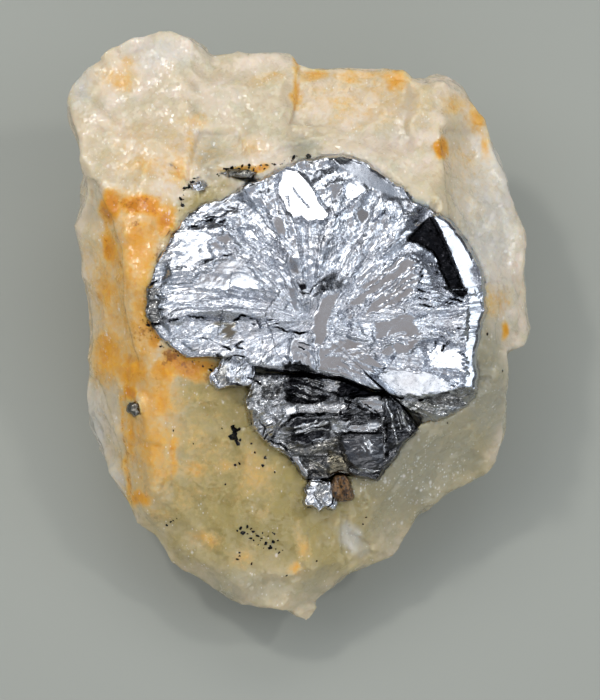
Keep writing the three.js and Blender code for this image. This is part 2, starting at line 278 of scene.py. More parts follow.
def nearest_on_line(places: np.ndarray, line: Line, closed: bool = False) -> np.ndarray:
    """The nearest point of a line to each place.

    Args:
        places: One row of across and up for each place.
        line: The line's points.
        closed: Whether its end joins its start.

    Returns:
        One row for each place.
    """
    ends = np.array(line, float).reshape(-1, 2)
    starts, stops = (ends, np.roll(ends, -1, axis=0)) if closed else (ends[:-1], ends[1:])
    best = np.full(len(places), np.inf)
    nearest = np.zeros_like(places)
    for start, stop in zip(starts, stops):
        along = stop - start
        share = np.clip((places - start) @ along / (along @ along), 0, 1)
        point = start + share[:, None] * along
        distance = ((places - point) ** 2).sum(axis=1)
        closer = distance < best
        best = np.where(closer, distance, best)
        nearest = np.where(closer[:, None], point, nearest)
    return nearest


def line_distance(places: np.ndarray, line: Line, closed: bool = False) -> np.ndarray:
    """How far places are from a line of points."""
    return np.linalg.norm(places - nearest_on_line(places, line, closed), axis=1)


def depth_inside(places: np.ndarray, outline: Line) -> np.ndarray:
    """How deep places are inside an outline, below 0 outside it.

    Args:
        places: One row of across and up for each place.
        outline: The outline's corners.

    Returns:
        One depth for each place.
    """
    inside = np.zeros(len(places), bool)
    corners = np.array(outline, float).reshape(-1, 2)
    for (x0, y0), (x1, y1) in zip(corners, np.roll(corners, -1, axis=0)):
        crosses = (y0 > places[:, 1]) != (y1 > places[:, 1])
        if y0 != y1:
            inside ^= crosses & (places[:, 0] < (x1 - x0) * (places[:, 1] - y0) / (y1 - y0) + x0)
    return np.where(inside, 1, -1) * line_distance(places, outline, closed=True)


def read_rows(items: bpy.types.bpy_prop_collection, name: str, width: int, kind: type) -> np.ndarray:
    """Reads a property of all vertices or edges of a mesh.

    Args:
        items: The vertices or edges.
        name: The property.
        width: How many numbers it has.
        kind: The numbers' type.

    Returns:
        One row for each vertex or edge.
    """
    values = np.empty(len(items) * width, kind)
    items.foreach_get(name, values)
    return values.reshape(-1, width)


def vertex_array(mesh: bpy.types.Mesh, name: str = "co") -> np.ndarray:
    """Reads the places of a mesh's vertices, or another of their vectors."""
    return read_rows(mesh.vertices, name, 3, np.float32).astype(float)


def place_vertices(mesh: bpy.types.Mesh, points: np.ndarray) -> None:
    """Moves a mesh's vertices."""
    mesh.vertices.foreach_set("co", points.astype(np.float32).ravel())
    mesh.update()


def write_layer(mesh: bpy.types.Mesh, name: str, values: np.ndarray) -> None:
    """Stores one number for each vertex, for a material to read."""
    layer = mesh.attributes.new(name, "FLOAT", "POINT")
    layer.data.foreach_set("value", values.astype(np.float32))


def add_object(name: str, data: bpy.types.ID) -> bpy.types.Object:
    """Puts an object into the scene.

    Args:
        name: The object's name.
        data: Its mesh, light or camera.

    Returns:
        The object.
    """
    made = bpy.data.objects.new(name, data)
    bpy.context.scene.collection.objects.link(made)
    return made


def make_piece(name: str, points: np.ndarray, faces: Sequence[Sequence[int]]) -> bpy.types.Object:
    """Makes an object from points and faces, shaded flat.

    Args:
        name: The object's name.
        points: One row for each point, in metres.
        faces: The point numbers of each face.

    Returns:
        The new object.
    """
    mesh = bpy.data.meshes.new(name)
    mesh.from_pydata(points.tolist(), [], faces)
    mesh.polygons.foreach_set("use_smooth", np.full(len(mesh.polygons), False))
    mesh.update()
    return add_object(name, mesh)


def remeshed_copy(source: bpy.types.Object, name: str, voxel: float) -> bpy.types.Object:
    """Copies a CAD solid into a new object with an even, fine mesh.

    Args:
        source: The CAD object.
        name: The new object's name.
        voxel: The width of the new mesh's faces, in millimetres.

    Returns:
        The new object.
    """
    rough = add_object(name + "_rough", source.data.copy())
    remesh = rough.modifiers.new("even", "REMESH")
    remesh.mode = "VOXEL"
    remesh.voxel_size = voxel * MM
    graph = bpy.context.evaluated_depsgraph_get()
    mesh = bpy.data.meshes.new_from_object(rough.evaluated_get(graph))
    bpy.data.objects.remove(rough)
    mesh.name = name
    mesh.materials.clear()
    return add_object(name, mesh)


def relax(mesh: bpy.types.Mesh, rounds: int) -> None:
    """Softens a mesh by moving each vertex to the mean of its neighbours.

    Args:
        mesh: The mesh.
        rounds: How many times.
    """
    edges = read_rows(mesh.edges, "vertices", 2, np.int32)
    first, second = edges.T
    points = vertex_array(mesh)
    count = np.bincount(edges.ravel(), minlength=len(points))[:, None]
    for _ in range(rounds):
        total = np.zeros_like(points)
        for axis in range(3):
            total[:, axis] = np.bincount(first, points[second, axis], len(points))
            total[:, axis] += np.bincount(second, points[first, axis], len(points))
        points = 0.5 * points + 0.5 * total / np.maximum(count, 1)
    place_vertices(mesh, points)


def spread_least(mesh: bpy.types.Mesh, values: np.ndarray, rounds: int) -> np.ndarray:
    """Gives each vertex the least value among its neighbours.

    Args:
        mesh: The mesh.
        values: One number for each vertex.
        rounds: How many times.

    Returns:
        The new numbers.
    """
    first, second = read_rows(mesh.edges, "vertices", 2, np.int32).T
    for _ in range(rounds):
        least = values.copy()
        np.minimum.at(least, first, values[second])
        np.minimum.at(least, second, values[first])
        values = least
    return values


def thickness(tree: BVHTree, points: np.ndarray, normals: np.ndarray, skin: float = 0.6) -> np.ndarray:
    """How thick a solid is under points near its surface.

    Args:
        tree: The solid's surface.
        points: One row for each point, in metres.
        normals: The surface's normal at each.
        skin: How far under the surface it starts to measure, in millimetres.

    Returns:
        One thickness for each point, in millimetres.
    """
    starts = points - skin * MM * normals
    depths = np.zeros(len(points))
    for i, (start, normal) in enumerate(zip(starts, normals)):
        distance = tree.ray_cast(Vector(start), Vector(-normal))[3]
        depths[i] = 0.0 if distance is None else distance / MM
    return depths


class Value:
    """A node socket that takes part in Python expressions, each of which adds a Math node."""

    def __init__(self, shader: "Shader", socket: bpy.types.NodeSocket) -> None:
        """Wraps a socket."""
        self.shader = shader
        self.socket = socket

    def _with(self, operation: str, other: "Value | float") -> "Value":
        """Adds a Math node on this value and another."""
        return self.shader.math(operation, self, other)

    def __add__(self, other: "Value | float") -> "Value":
        """Adds."""
        return self._with("ADD", other)

    __radd__ = __add__

    def __mul__(self, other: "Value | float") -> "Value":
        """Multiplies."""
        return self._with("MULTIPLY", other)

    __rmul__ = __mul__

    def __sub__(self, other: "Value | float") -> "Value":
        """Takes the other away."""
        return self._with("SUBTRACT", other)

    def __rsub__(self, other: float) -> "Value":
        """Is taken away from the other."""
        return self.shader.math("SUBTRACT", other, self)

    def step(self, low: float, high: float) -> "Value":
        """Rises smoothly from 0 at low to 1 at high.

        Args:
            low: Where it is still 0.
            high: Where it has reached 1.

        Returns:
            The new value.
        """
        settings = {"interpolation_type": "SMOOTHSTEP"}
        inputs = {"Value": self, "From Min": low, "From Max": high}
        return self.shader.node("ShaderNodeMapRange", settings, inputs).value("Result")


def in_use(sockets: bpy.types.bpy_prop_collection, name: str) -> bpy.types.NodeSocket:
    """The socket with that name that is in use, where a node has several of one name."""
    return next(socket for socket in sockets if socket.name == name and socket.enabled)


@dataclass(frozen=True)
class Made:
    """A node that was added, and whose outputs are asked for by name."""

    shader: "Shader"
    node: bpy.types.Node

    def value(self, name: str) -> Value:
        """The output with that name."""
        return Value(self.shader, in_use(self.node.outputs, name))


class Shader:
    """A material or world under construction."""

    def __init__(self, tree: bpy.types.NodeTree) -> None:
        """Starts from an empty tree."""
        self.tree = tree
        tree.nodes.clear()

    def node(self, kind: str, settings: dict | None = None, inputs: dict | None = None) -> Made:
        """Adds a node.

        Args:
            kind: The node's type.
            settings: Its settings, which are set first. A ramp's stops go under stops.
            inputs: What its sockets hold, by name or number: a value or a link.

        Returns:
            The node.
        """
        node = self.tree.nodes.new(kind)
        for name, setting in (settings or {}).items():
            if name == "stops":
                self._set_stops(node.color_ramp, setting)
            else:
                setattr(node, name, setting)
        for name, given in (inputs or {}).items():
            socket = node.inputs[name] if isinstance(name, int) else in_use(node.inputs, name)
            if isinstance(given, Value):
                self.tree.links.new(given.socket, socket)
            else:
                socket.default_value = given
        return Made(self, node)

    @staticmethod
    def _set_stops(ramp: bpy.types.ColorRamp, stops: Sequence[tuple[float, Colour]]) -> None:
        """Gives a ramp its stops.

        Args:
            ramp: The ramp.
            stops: The place and the colour of each stop.
        """
        while len(ramp.elements) < len(stops):
            ramp.elements.new(1.0)
        for element, (place, colour) in zip(ramp.elements, stops):
            element.position = place
            element.color = (*colour, 1)

    def math(self, operation: str, *values: Value | float) -> Value:
        """Adds a Math node."""
        return self.node("ShaderNodeMath", {"operation": operation}, dict(enumerate(values))).value("Value")

    def vector(self, operation: str, *vectors: Value | Colour, **numbers: float) -> Value:
        """Adds a Vector Math node on vectors and, for SCALE, a number named Scale."""
        inputs = {**dict(enumerate(vectors)), **numbers}
        return self.node("ShaderNodeVectorMath", {"operation": operation}, inputs).value("Vector")

    def mix(self, share: Value | float, low: Value | Colour, high: Value | Colour) -> Value:
        """Mixes two colours.

        Args:
            share: How much of the second is in it.
            low: The first colour.
            high: The second.

        Returns:
            The mixed colour.
        """
        first, second = (end if isinstance(end, Value) else (*end, 1) for end in (low, high))
        inputs = {"Factor": share, "A": first, "B": second}
        return self.node("ShaderNodeMix", {"data_type": "RGBA"}, inputs).value("Result")

    def place(self) -> Value:
        """The place on the piece, in metres."""
        return self.node("ShaderNodeTexCoord").value("Object")

    def layer(self, name: str) -> Value:
        """A number that the mesh holds for each vertex."""
        return self.node("ShaderNodeAttribute", {"attribute_name": name}).value("Fac")

    def noise(self, where: Value, size: float, detail: float = 3, roughness: float = 0.55) -> Value:
        """Noise from 0 to 1."""
        inputs = {"Vector": where, "Scale": 1 / (size * MM), "Detail": detail, "Roughness": roughness}
        return self.node("ShaderNodeTexNoise", {}, inputs).value("Fac")

    def cells(self, where: Value, size: float) -> Made:
        """Irregular cells."""
        return self.node("ShaderNodeTexVoronoi", {}, {"Vector": where, "Scale": 1 / (size * MM)})

    def tilted(self, base: Value, where: Value, size: float, strength: float) -> Value:
        """Tilts a normal its own way in each small cell, which makes a surface glitter.

        Args:
            base: The normal.
            where: The coordinates of the cells, in metres.
            size: How wide a cell is, in millimetres.
            strength: How far a cell may tilt.

        Returns:
            The new normal.
        """
        way = self.vector("SUBTRACT", self.cells(where, size).value("Color"), (0.5, 0.5, 0.5))
        moved = self.vector("ADD", base, self.vector("SCALE", way, Scale=2 * strength))
        return self.vector("NORMALIZE", moved)

    def bump(self, height: Value, depth: float, normal: Value | None = None) -> Value:
        """Turns a height into a normal.

        Args:
            height: The height, from 0 to 1.
            depth: What 1 stands for, in millimetres.
            normal: The normal under it.

        Returns:
            The new normal.
        """
        inputs = {"Height": height, "Distance": depth * MM}
        if normal is not None:
            inputs["Normal"] = normal
        return self.node("ShaderNodeBump", {}, inputs).value("Normal")

    def surface(self, inputs: dict) -> None:
        """Ends a material with a Principled shader."""
        made = self.node("ShaderNodeBsdfPrincipled", {}, inputs)
        self.node("ShaderNodeOutputMaterial", {}, {"Surface": made.value("BSDF")})


def new_material(name: str) -> tuple[bpy.types.Material, Shader]:
    """Starts a material.

    Args:
        name: Its name.

    Returns:
        The material and its shader.
    """
    material = bpy.data.materials.new(name)
    material.use_nodes = True
    return material, Shader(material.node_tree)


@dataclass(frozen=True)
class QuartzFinish:
    """Milky, slightly see-through quartz with iron stains, painted glints, and painted shadow round the
    crystals.
    """

    cream: Colour = (0.68, 0.57, 0.40)
    pale: Colour = (0.78, 0.66, 0.53)
    mist: Colour = (0.56, 0.53, 0.37)
    moss: Colour = (0.41, 0.325, 0.12)
    smoke: Colour = (0.40, 0.375, 0.28)
    chalk: Colour = (0.66, 0.62, 0.54)
    # the white of the painted glints
    glint_white: Colour = (1.0, 0.98, 0.94)
    irons: Sequence[tuple[float, Colour]] = (
        (0.15, (0.76, 0.57, 0.29)),
        (0.45, (0.78, 0.48, 0.145)),
        (0.75, (0.80, 0.37, 0.02)),
        (1.0, (0.70, 0.27, 0.004)),
    )
    rust: Colour = (0.25, 0.075, 0.015)
    # the black of dark crumbs and of painted shadow round the crystals
    black_and_shadow: Colour = (0.035, 0.03, 0.022)

    def material(self) -> bpy.types.Material:
        """Makes the material.

        Returns:
            The material.
        """
        material, shader = new_material("milky_quartz")
        where = shader.place()
        cloud = shader.noise(where, 5, 3, 0.5)
        drift = shader.noise(shader.vector("ADD", where, (0.31, 0.17, 0.0)), 2.0, 4, 0.6)
        grain = shader.noise(where, 0.5, 3, 0.65)
        colour = shader.mix(cloud.step(0.36, 0.64), self.cream, self.pale)
        colour = shader.mix(drift.step(0.44, 0.72) * 0.6, colour, self.mist)
        colour = self.stained(shader, colour, cloud, drift, grain)
        # painted glints: white spots in the colour where grains would catch the light
        colour = shader.mix(self.painted_glints(shader, where), colour, self.glint_white)
        normal = shader.bump(grain, 0.025, shader.bump(drift, 0.08))
        normal = shader.tilted(normal, where, 1.3, 0.13)
        normal = shader.tilted(normal, where, 0.3, 0.14)
        shader.surface({
            "Base Color": colour, "Roughness": drift * 0.3 + 0.09, "Normal": normal, "IOR": 1.5,
            "Subsurface Weight": 1.0, "Subsurface Radius": (1.0, 0.8, 0.55), "Subsurface Scale": 0.0012,
        })
        return material

    def stained(self, shader: Shader, colour: Value, cloud: Value, drift: Value, grain: Value) -> Value:
        """Lays the stone's stains over its plain colour, then the painted shadow and dark crumbs where it
        meets the crystals.

        Args:
            shader: The shader.
            colour: The plain colour.
            cloud: Wide noise.
            drift: Noise of middling width.
            grain: Fine noise.

        Returns:
            The stained colour.
        """
        soft = 0.6 * (cloud - 0.5) + 0.5 * (drift - 0.5)
        colour = shader.mix((shader.layer("moss") + soft).step(0.0, 0.8), colour, self.moss)
        colour = shader.mix((shader.layer("smoke") + soft).step(0.2, 0.85) * 0.85, colour, self.smoke)
        colour = shader.mix((shader.layer("chalk") + soft).step(0.2, 0.85) * 0.85, colour, self.chalk)
        iron = shader.layer("stain") + 0.35 * (cloud - 0.5) + 0.5 * (drift - 0.5) + 0.45 * (grain - 0.5)
        hue = shader.node("ShaderNodeValToRGB", {"stops": self.irons}, {"Fac": iron}).value("Color")
        colour = shader.mix(iron.step(0.02, 0.62) * 0.95, colour, hue)
        brown = (shader.layer("rust") + 2.2 * (grain - 0.5)).step(0.35, 0.95)
        colour = shader.mix(brown * 0.75, colour, self.rust)
        # painted shadow and dark crumbs along the crystals' edges
        black = (shader.layer("contact") + 1.5 * (grain - 0.5)).step(0.55, 0.85)
        return shader.mix(black * 0.85, colour, self.black_and_shadow)

    def painted_glints(self, shader: Shader, where: Value) -> Value:
        """Painted glints: where white spots in the colour stand in for small grains that catch the light, in
        clusters.

        Args:
            shader: The shader.
            where: The place on the stone.

        Returns:
            Numbers from 0 to 1.
        """
        upright = shader.vector("MULTIPLY", where, (1.0, 0.65, 0.8))
        gathered = shader.noise(shader.vector("ADD", where, (0.0, 0.23, 0.41)), 1.5, 4, 0.65)
        likely = 1.5 * (gathered - 0.5) + 0.3 * shader.layer("sparkle")
        total = 0.0
        for size, rarity in ((0.2, 0.97), (0.42, 1.02)):
            cells = shader.cells(upright, size)
            chance = shader.node("ShaderNodeSeparateColor", {}, {"Color": cells.value("Color")}).value("Red")
            dot = 1 - cells.value("Distance").step(0.1, 0.5)
            total = (chance + likely).step(rarity, rarity + 0.1) * dot * 0.5 + total
        return total


@dataclass(frozen=True)
class MolybdeniteFinish:
    """Metal-bright plates with fine striations that glint."""

    name: str
    silver: Colour = (0.58, 0.60, 0.64)
    tarnish: Colour = (0.42, 0.40, 0.40)
    tint: Colour = (0.25, 0.215, 0.135)
    # the dark grey of painted shade
    shade_grey: Colour = (0.095, 0.095, 0.10)
    # the black of painted shadow in gaps, hollows and folds, and of dark specks and grains
    black_and_shadow: Colour = (0.012, 0.012, 0.014)
    smoothness: float = 0.15
    glitter: float = 0.11
    scratch: float = 0.035

    def material(self) -> bpy.types.Material:
        """Makes the material.

        Returns:
            The material.
        """
        material, shader = new_material(self.name)
        where = shader.place()
        patches = shader.noise(where, 2.2, 4, 0.6)
        fine = shader.noise(where, 0.35, 3, 0.6)
        parts = {"X": shader.layer("fan"), "Y": shader.layer("along"), "Z": 0.0}
        grain = shader.node("ShaderNodeCombineXYZ", {}, parts).value("Vector")
        scratches = shader.noise(shader.vector("MULTIPLY", grain, (0.001, 0.00012, 0.001)), 0.13, 2, 0.6)
        colour = shader.mix(patches.step(0.42, 0.72) * 0.5, self.silver, self.tarnish)
        colour = shader.mix(shader.layer("tint"), colour, self.tint)
        # painted shade: darker where the plates would reflect dark surroundings
        colour = shader.mix((shader.layer("shade") + 0.3 * (fine - 0.5)).step(0.0, 1.0), colour, self.shade_grey)
        # painted black shadow, and black specks
        black = (shader.layer("black_and_shadow") + 0.5 * (fine - 0.5)).step(0.35, 0.65)
        colour = shader.mix(black, colour, self.black_and_shadow)
        calm = shader.layer("calm")
        smooth = shader.bump(fine, 0.006)
        rough = shader.bump(scratches, self.scratch, shader.bump(fine, 0.02))
        rough = shader.tilted(rough, where, 0.3, self.glitter)
        normal = shader.vector("NORMALIZE", shader.mix(calm, rough, smooth))
        gloss = fine * 0.2 + self.smoothness
        shader.surface({"Base Color": colour, "Metallic": 1.0, "Roughness": gloss, "Normal": normal})
        return material


@dataclass(frozen=True)
class MicaFinish:
    """Brown, flaky mica with a silky gloss."""

    brown: Colour = (0.05, 0.024, 0.01)
    golden: Colour = (0.24, 0.125, 0.045)
    speck: Colour = (0.01, 0.008, 0.006)

    def material(self) -> bpy.types.Material:
        """Makes the material.

        Returns:
            The material.
        """
        material, shader = new_material("brown_mica")
        where = shader.place()
        flakes = shader.noise(shader.vector("MULTIPLY", where, (1.0, 0.3, 1.0)), 0.3, 4, 0.7)
        colour = shader.mix(flakes.step(0.4, 0.62), self.brown, self.golden)
        specks = shader.noise(shader.vector("ADD", where, (0.2, 0.0, 0.0)), 0.25, 2, 0.5)
        colour = shader.mix(specks.step(0.56, 0.64), colour, self.speck)
        normal = shader.tilted(shader.bump(flakes, 0.08), where, 0.25, 0.2)
        shader.surface({"Base Color": colour, "Roughness": 0.35, "Normal": normal, "Coat Weight": 0.3})
        return material


@dataclass(frozen=True)
class FloorFinish:
    """A plain, pale, matt floor."""

    colour: Colour = (0.36, 0.365, 0.32)

    def material(self) -> bpy.types.Material:
        """Makes the material.

        Returns:
            The material.
        """
        material, shader = new_material("pale_floor")
        shader.surface({"Base Color": (*self.colour, 1), "Roughness": 0.8})
        return material


def dress(piece: bpy.types.Object, material: bpy.types.Material, slot: Slot, *nodes: str) -> None:
    """Gives a piece its material and its body, and lets it stand for CAD nodes.

    Args:
        piece: The piece.
        material: Its material.
        slot: The record's slot that its finish is in. Not used.
        nodes: The CAD nodes that it replaces.
    """
    piece.data.materials.append(material)
    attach(piece, "root")
    if nodes:
        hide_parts(*nodes)


@dataclass(frozen=True)
class Blotch:
    """A soft-edged spot: its middle, its half sizes, its strength, and its turn in degrees."""

    across: float
    up: float
    width: float
    height: float
    strength: float = 1.0
    turn: float = 0.0

    def cover(self, places: np.ndarray) -> np.ndarray:
        """How much of the spot is on each place.

        Args:
            places: One row of across and up for each place.

        Returns:
            Numbers from 0 to the spot's strength.
        """
        across, up = (places - np.array([self.across, self.up])).T
        cosine, sine = math.cos(math.radians(self.turn)), math.sin(math.radians(self.turn))
        along, aside = across * cosine + up * sine, up * cosine - across * sine
        return self.strength * smooth_step(1.7, 0.1, np.hypot(along / self.width, aside / self.height))


def covered(blotches: Rows, places: np.ndarray) -> np.ndarray:
    """How much of the strongest of several blotches is on each place."""
    return np.max([Blotch(*row).cover(places) for row in blotches], axis=0)


@dataclass(frozen=True)
class Ledge:
    """A part of the quartz that broke away a little lower, with one sharp edge, from which it fades out."""

    sharp: Line
    rest: Line
    sink: float
    reach: float

    def drop(self, places: np.ndarray) -> np.ndarray:
        """How far each place is lowered."""
        inside = self.sink * smooth_step(-0.05, 0.2, depth_inside(places, (*self.sharp, *self.rest)))
        return inside * smooth_step(self.reach, 0.2 * self.reach, line_distance(places, self.sharp))


@dataclass
class QuartzMatrix:
    """The broken piece of quartz."""

    node: str = "quartz_matrix"
    voxel: float = 0.275
    softening: int = 4
    facets: Rows = ((6.0, 0.28, 0.09, 0.8), (2.6, 0.07, 0.06, 0.4), (0.9, 0.02, 0.05, 0.0))
    facet_seeds: Sequence[int] = (11, 23, 29)
    seam_depth: float = 0.14
    front: float = -7.0
    mouth: float = 1.1
    margin: float = 2.4
    closed: float = 1.2
    opening: float = 0.36
    tuck: float = 0.6
    seams: Sequence[Line] = (
        (-18.1, 12.9, -17.4, 11.1, -16.5, 9, -16.2, 6.7, -16.2, 4.2, -15.7, 1.9, -15.1, -0.2, -14.8, -1.3),
        (-0.3, 26.5, -0.4, 21.8),
        (-16.2, -4, -15.9, -9, -15.6, -13),
    )
    wrinkles: Sequence[Line] = (
        (14.4, 11.6, 15.5, 10.7, 16.8, 10.2, 18.2, 9.7),
        (-12.9, -3.2, -12.2, -6, -11.6, -10, -11.8, -12.5),
        (-8.8, -5.8, -7.6, -6.4, -6.9, -7.8),
        (0.8, -16.5, 0.5, -18.6, -0.4, -20.6),
        (-15.3, -8.6, -14, -8.4, -12.8, -8.8),
    )
    ledges: Sequence[Ledge] = (
        # the recess at the rosette's upper left, and the facet beside it
        Ledge((-5.7, 20.3, -9.4, 20.2, -10.1, 17.6, -10.8, 14.8), (-6, 14.5, -4.5, 17.5), 0.5, 4.5),
        Ledge((-1.2, 21.8, -0.4, 20, 2.7, 18.6, 4.1, 18.2), (1, 17, -3, 17.5, -3.5, 20), 0.25, 2.5),
        # the step down at the top, and along the right block
        Ledge((-0.3, 26.8, -0.4, 23, -1, 20.5), (5, 20, 10, 22, 10, 27), 0.4, 5),
        Ledge((12.7, 20.5, 13.4, 13.6, 14.5, 9.1, 15.5, 6), (19, 6, 20, 20), 0.32, 5),
        # the back lobes on the left
        Ledge((-18.9, 15.5, -18.1, 13.2, -17.4, 11.1, -16.5, 9, -16.2, 6.7, -16.2, 4.2, -15.7, 1.9,
            -15.1, -0.2, -14.8, -1.3), (-22, -1.3, -22, 15.5), 0.35, 3),
        Ledge((-18.3, -2.5, -17.4, -4.8, -16.7, -6.6, -16.2, -9.2, -15.9, -12.3, -15.5, -14.8), (-17, -16,
            -22, -10, -22, -2), 0.27, 4),
        # a shallow facet at the bottom
        Ledge((3.5, -18.2, 3.5, -14.7, 4.5, -15, 4.7, -16.4, 6.4, -17.3), (6.5, -18.4, 4.1, -19.8), 0.3, 3),
    )
    stains: Rows = (
        # a wide, weak stain down the left
        (-15.3, 5, 4.6, 11, 0.55), (-13.6, -7, 3.4, 8, 0.5), (-9, -9, 5, 6, 0.24), (6, 23, 8, 3, 0.3),
        (-13, 18, 6, 4, 0.3), (14, 17, 3, 6, 0.25),
        # the strong orange band at the left, and the recess below it
        (-17.2, 13.1, 1.1, 1.5, 1.2), (-14.3, 13.1, 2.0, 1.0, 1.2, -15), (-12.2, 11.8, 0.9, 1.6, 0.95),
        (-14.5, 9.1, 2.4, 4, 0.66), (-14.1, 3.6, 2, 4.5, 0.66),
        # down the left side
        (-17.3, 9.3, 0.9, 1.7, 1.0, 15), (-17.7, 5.5, 1.2, 2.5, 0.62), (-17.3, -0.6, 1.8, 3.4, 0.75),
        (-15.5, -1.8, 2.2, 2.2, 0.75), (-15.3, -3.9, 0.8, 0.9, 1.05), (-12.3, -1.8, 1.6, 1.6, 0.75),
        (-9.2, -1.3, 2.4, 0.9, 0.85, -14), (-13.2, 1.4, 0.9, 1.6, 0.9, -25),
        (-10.6, -1.3, 2.6, 0.9, 0.95, -33), (-12.7, -4.5, 1.3, 2.6, 0.62), (-13.6, -8.2, 1.9, 3.5, 0.56),
        (-15.3, -8.2, 0.6, 3.5, 0.72), (-11.6, -9.5, 0.5, 2.2, 0.72), (-14.5, -13.5, 1.2, 0.8, 0.8),
        # over the lower face
        (-10, -10.9, 2, 1.2, 0.45), (-6.8, -10.6, 1.3, 1, 0.42), (-4.1, -11.4, 2.4, 3.8, 0.36),
        (-8.8, -17.1, 1.6, 1, 0.4), (-3.5, -14.7, 1.2, 0.8, 0.3), (0.2, -17.3, 0.6, 2, 0.36, 10),
        (-0.5, -19.8, 0.8, 0.6, 0.6, 35), (-5, -18.6, 1.6, 1.4, 0.32),
        # along the top
        (-3.1, 24.6, 2.4, 0.7, 0.4, 10), (-0.3, 23.8, 0.6, 1.8, 0.62), (1.4, 25, 2.2, 0.8, 0.5),
        (4.7, 25, 3.4, 0.8, 0.45), (8.7, 24.4, 1.4, 1.7, 0.58), (8.6, 22.7, 1.5, 2, 0.35),
        (12.7, 18.3, 0.6, 0.9, 1.15), (16.2, 21.2, 1.2, 2, 0.56), (14.1, 22.3, 1.8, 1.2, 0.42),
        (17, 18.8, 0.6, 1.4, 0.55), (-15.9, 26.2, 1.2, 0.9, 0.36), (-16.8, 24.7, 2, 1.4, 0.42),
        (-10, 20.8, 1.8, 0.8, 0.45), (-10.1, 19, 0.7, 1.6, 0.4), (-13.6, 16.8, 3.6, 1.8, 0.42),
        (-10.9, 16.4, 1.2, 1.8, 0.4), (-4.3, 18.5, 1.8, 1.2, 0.36), (-3.5, 16.6, 1.1, 0.4, 1.0),
        (-5.6, 16.5, 1.6, 0.3, 0.85), (4.1, 20.9, 4, 1.5, 0.24), (6.8, 21.8, 1.8, 1.5, 0.34),
        # the right side
        (18.6, 1.8, 0.4, 0.8, 0.85), (17.5, 4.5, 1.4, 1.6, 0.42),
    )
    rusts: Rows = (
        (-11.6, -0.5, 0.9, 0.5, 0.95, -25), (-12.2, -1.1, 0.4, 0.6, 0.7), (-10.4, -1.3, 0.9, 0.3, 0.7, -35),
        (-8.6, -2.3, 0.5, 0.9, 0.42), (-14.9, 11.7, 0.8, 0.35, 0.6), (-17.2, 12.2, 0.6, 0.3, 0.4),
        (-13.6, 12.3, 1.3, 0.2, 0.45, -10), (-14.9, 13.3, 2.8, 0.9, 0.4, -8),
        (-12.8, 9.1, 0.3, 2.2, 0.65, -20), (12.75, 18.8, 0.3, 0.4, 0.55), (-5.9, 16.5, 1.2, 0.22, 0.8),
        (-3.6, 16.7, 0.6, 0.2, 0.5), (-17.6, 10.2, 0.2, 1.2, 0.45, 15), (-12.9, -3.2, 0.22, 1.2, 0.42),
        (-16.1, -8, 0.12, 4, 0.35), (-14.2, 1.9, 1.3, 1.2, 0.6),
    )
    mosses: Rows = (
        (-3, -12, 13, 11, 0.85), (-7, -5, 6, 5, 0.75), (8, -10, 8, 8, 0.65), (-9.3, 13.5, 4, 1, 0.65, 30),
        (0.5, -16, 9, 7, 0.7), (16.5, -2, 2.5, 5, 0.5), (15, -9, 3, 5, 0.6),
    )
    smokes: Rows = (
        (10, -10, 6.5, 7, 0.8), (17, -3.5, 3, 6, 0.85), (-8.4, 17.6, 1.7, 3, 0.75),
        (0.2, 18.4, 2.4, 1.3, 0.7), (1.5, -22, 5, 3, 0.5), (-12, 20.5, 2.4, 1.2, 0.35),
        (-5, -21.5, 7, 2.2, 0.6), (14.5, -9, 3, 5.5, 0.7), (8, -16, 3, 4, 0.5), (8.5, 20.5, 6, 4, 0.36),
    )
    chalks: Rows = (
        (16.8, 13, 3.2, 9, 0.9), (-12.7, 27, 4, 2, 0.6), (-19.8, 24, 1.2, 3, 0.8),
        (-19.2, -7.8, 1.8, 4.6, 1.0), (-16.8, -12, 0.9, 2.6, 0.8), (4.6, -17, 1.2, 2.2, 0.82, 25),
        (18, 8, 2.5, 8, 0.5),
    )
    # where the painted glints gather most
    sparkles: Rows = (
        (9.5, -11.5, 4.5, 3.5, 0.9), (-13, 21, 6, 6, 0.35), (-3.5, 22, 2.5, 2, 0.3),
        (-10, -3, 2.5, 1.2, 0.5, -30), (-8, -19, 5, 3, 0.2),
    )

    def build(self, frame: dict, crystals: Sequence["FoilCrystal"]) -> bpy.types.Object:
        """Makes the stone from its CAD solid.

        Args:
            frame: The loaded frame.
            crystals: The finished crystals, which the stone closes on.

        Returns:
            The stone.
        """
        solid = frame["nodes"][self.node]
        stone = remeshed_copy(solid, "quartz", self.voxel)
        relax(stone.data, self.softening)
        surface = Surface(solid)
        self.break_surface(stone.data, surface)
        for crystal in crystals:
            self.close_seat(stone.data, surface, crystal)
        self.paint(stone.data, [crystal.outline[::3] for crystal in crystals])
        dress(stone, QuartzFinish().material(), Slot.QUARTZ, self.node)
        return stone

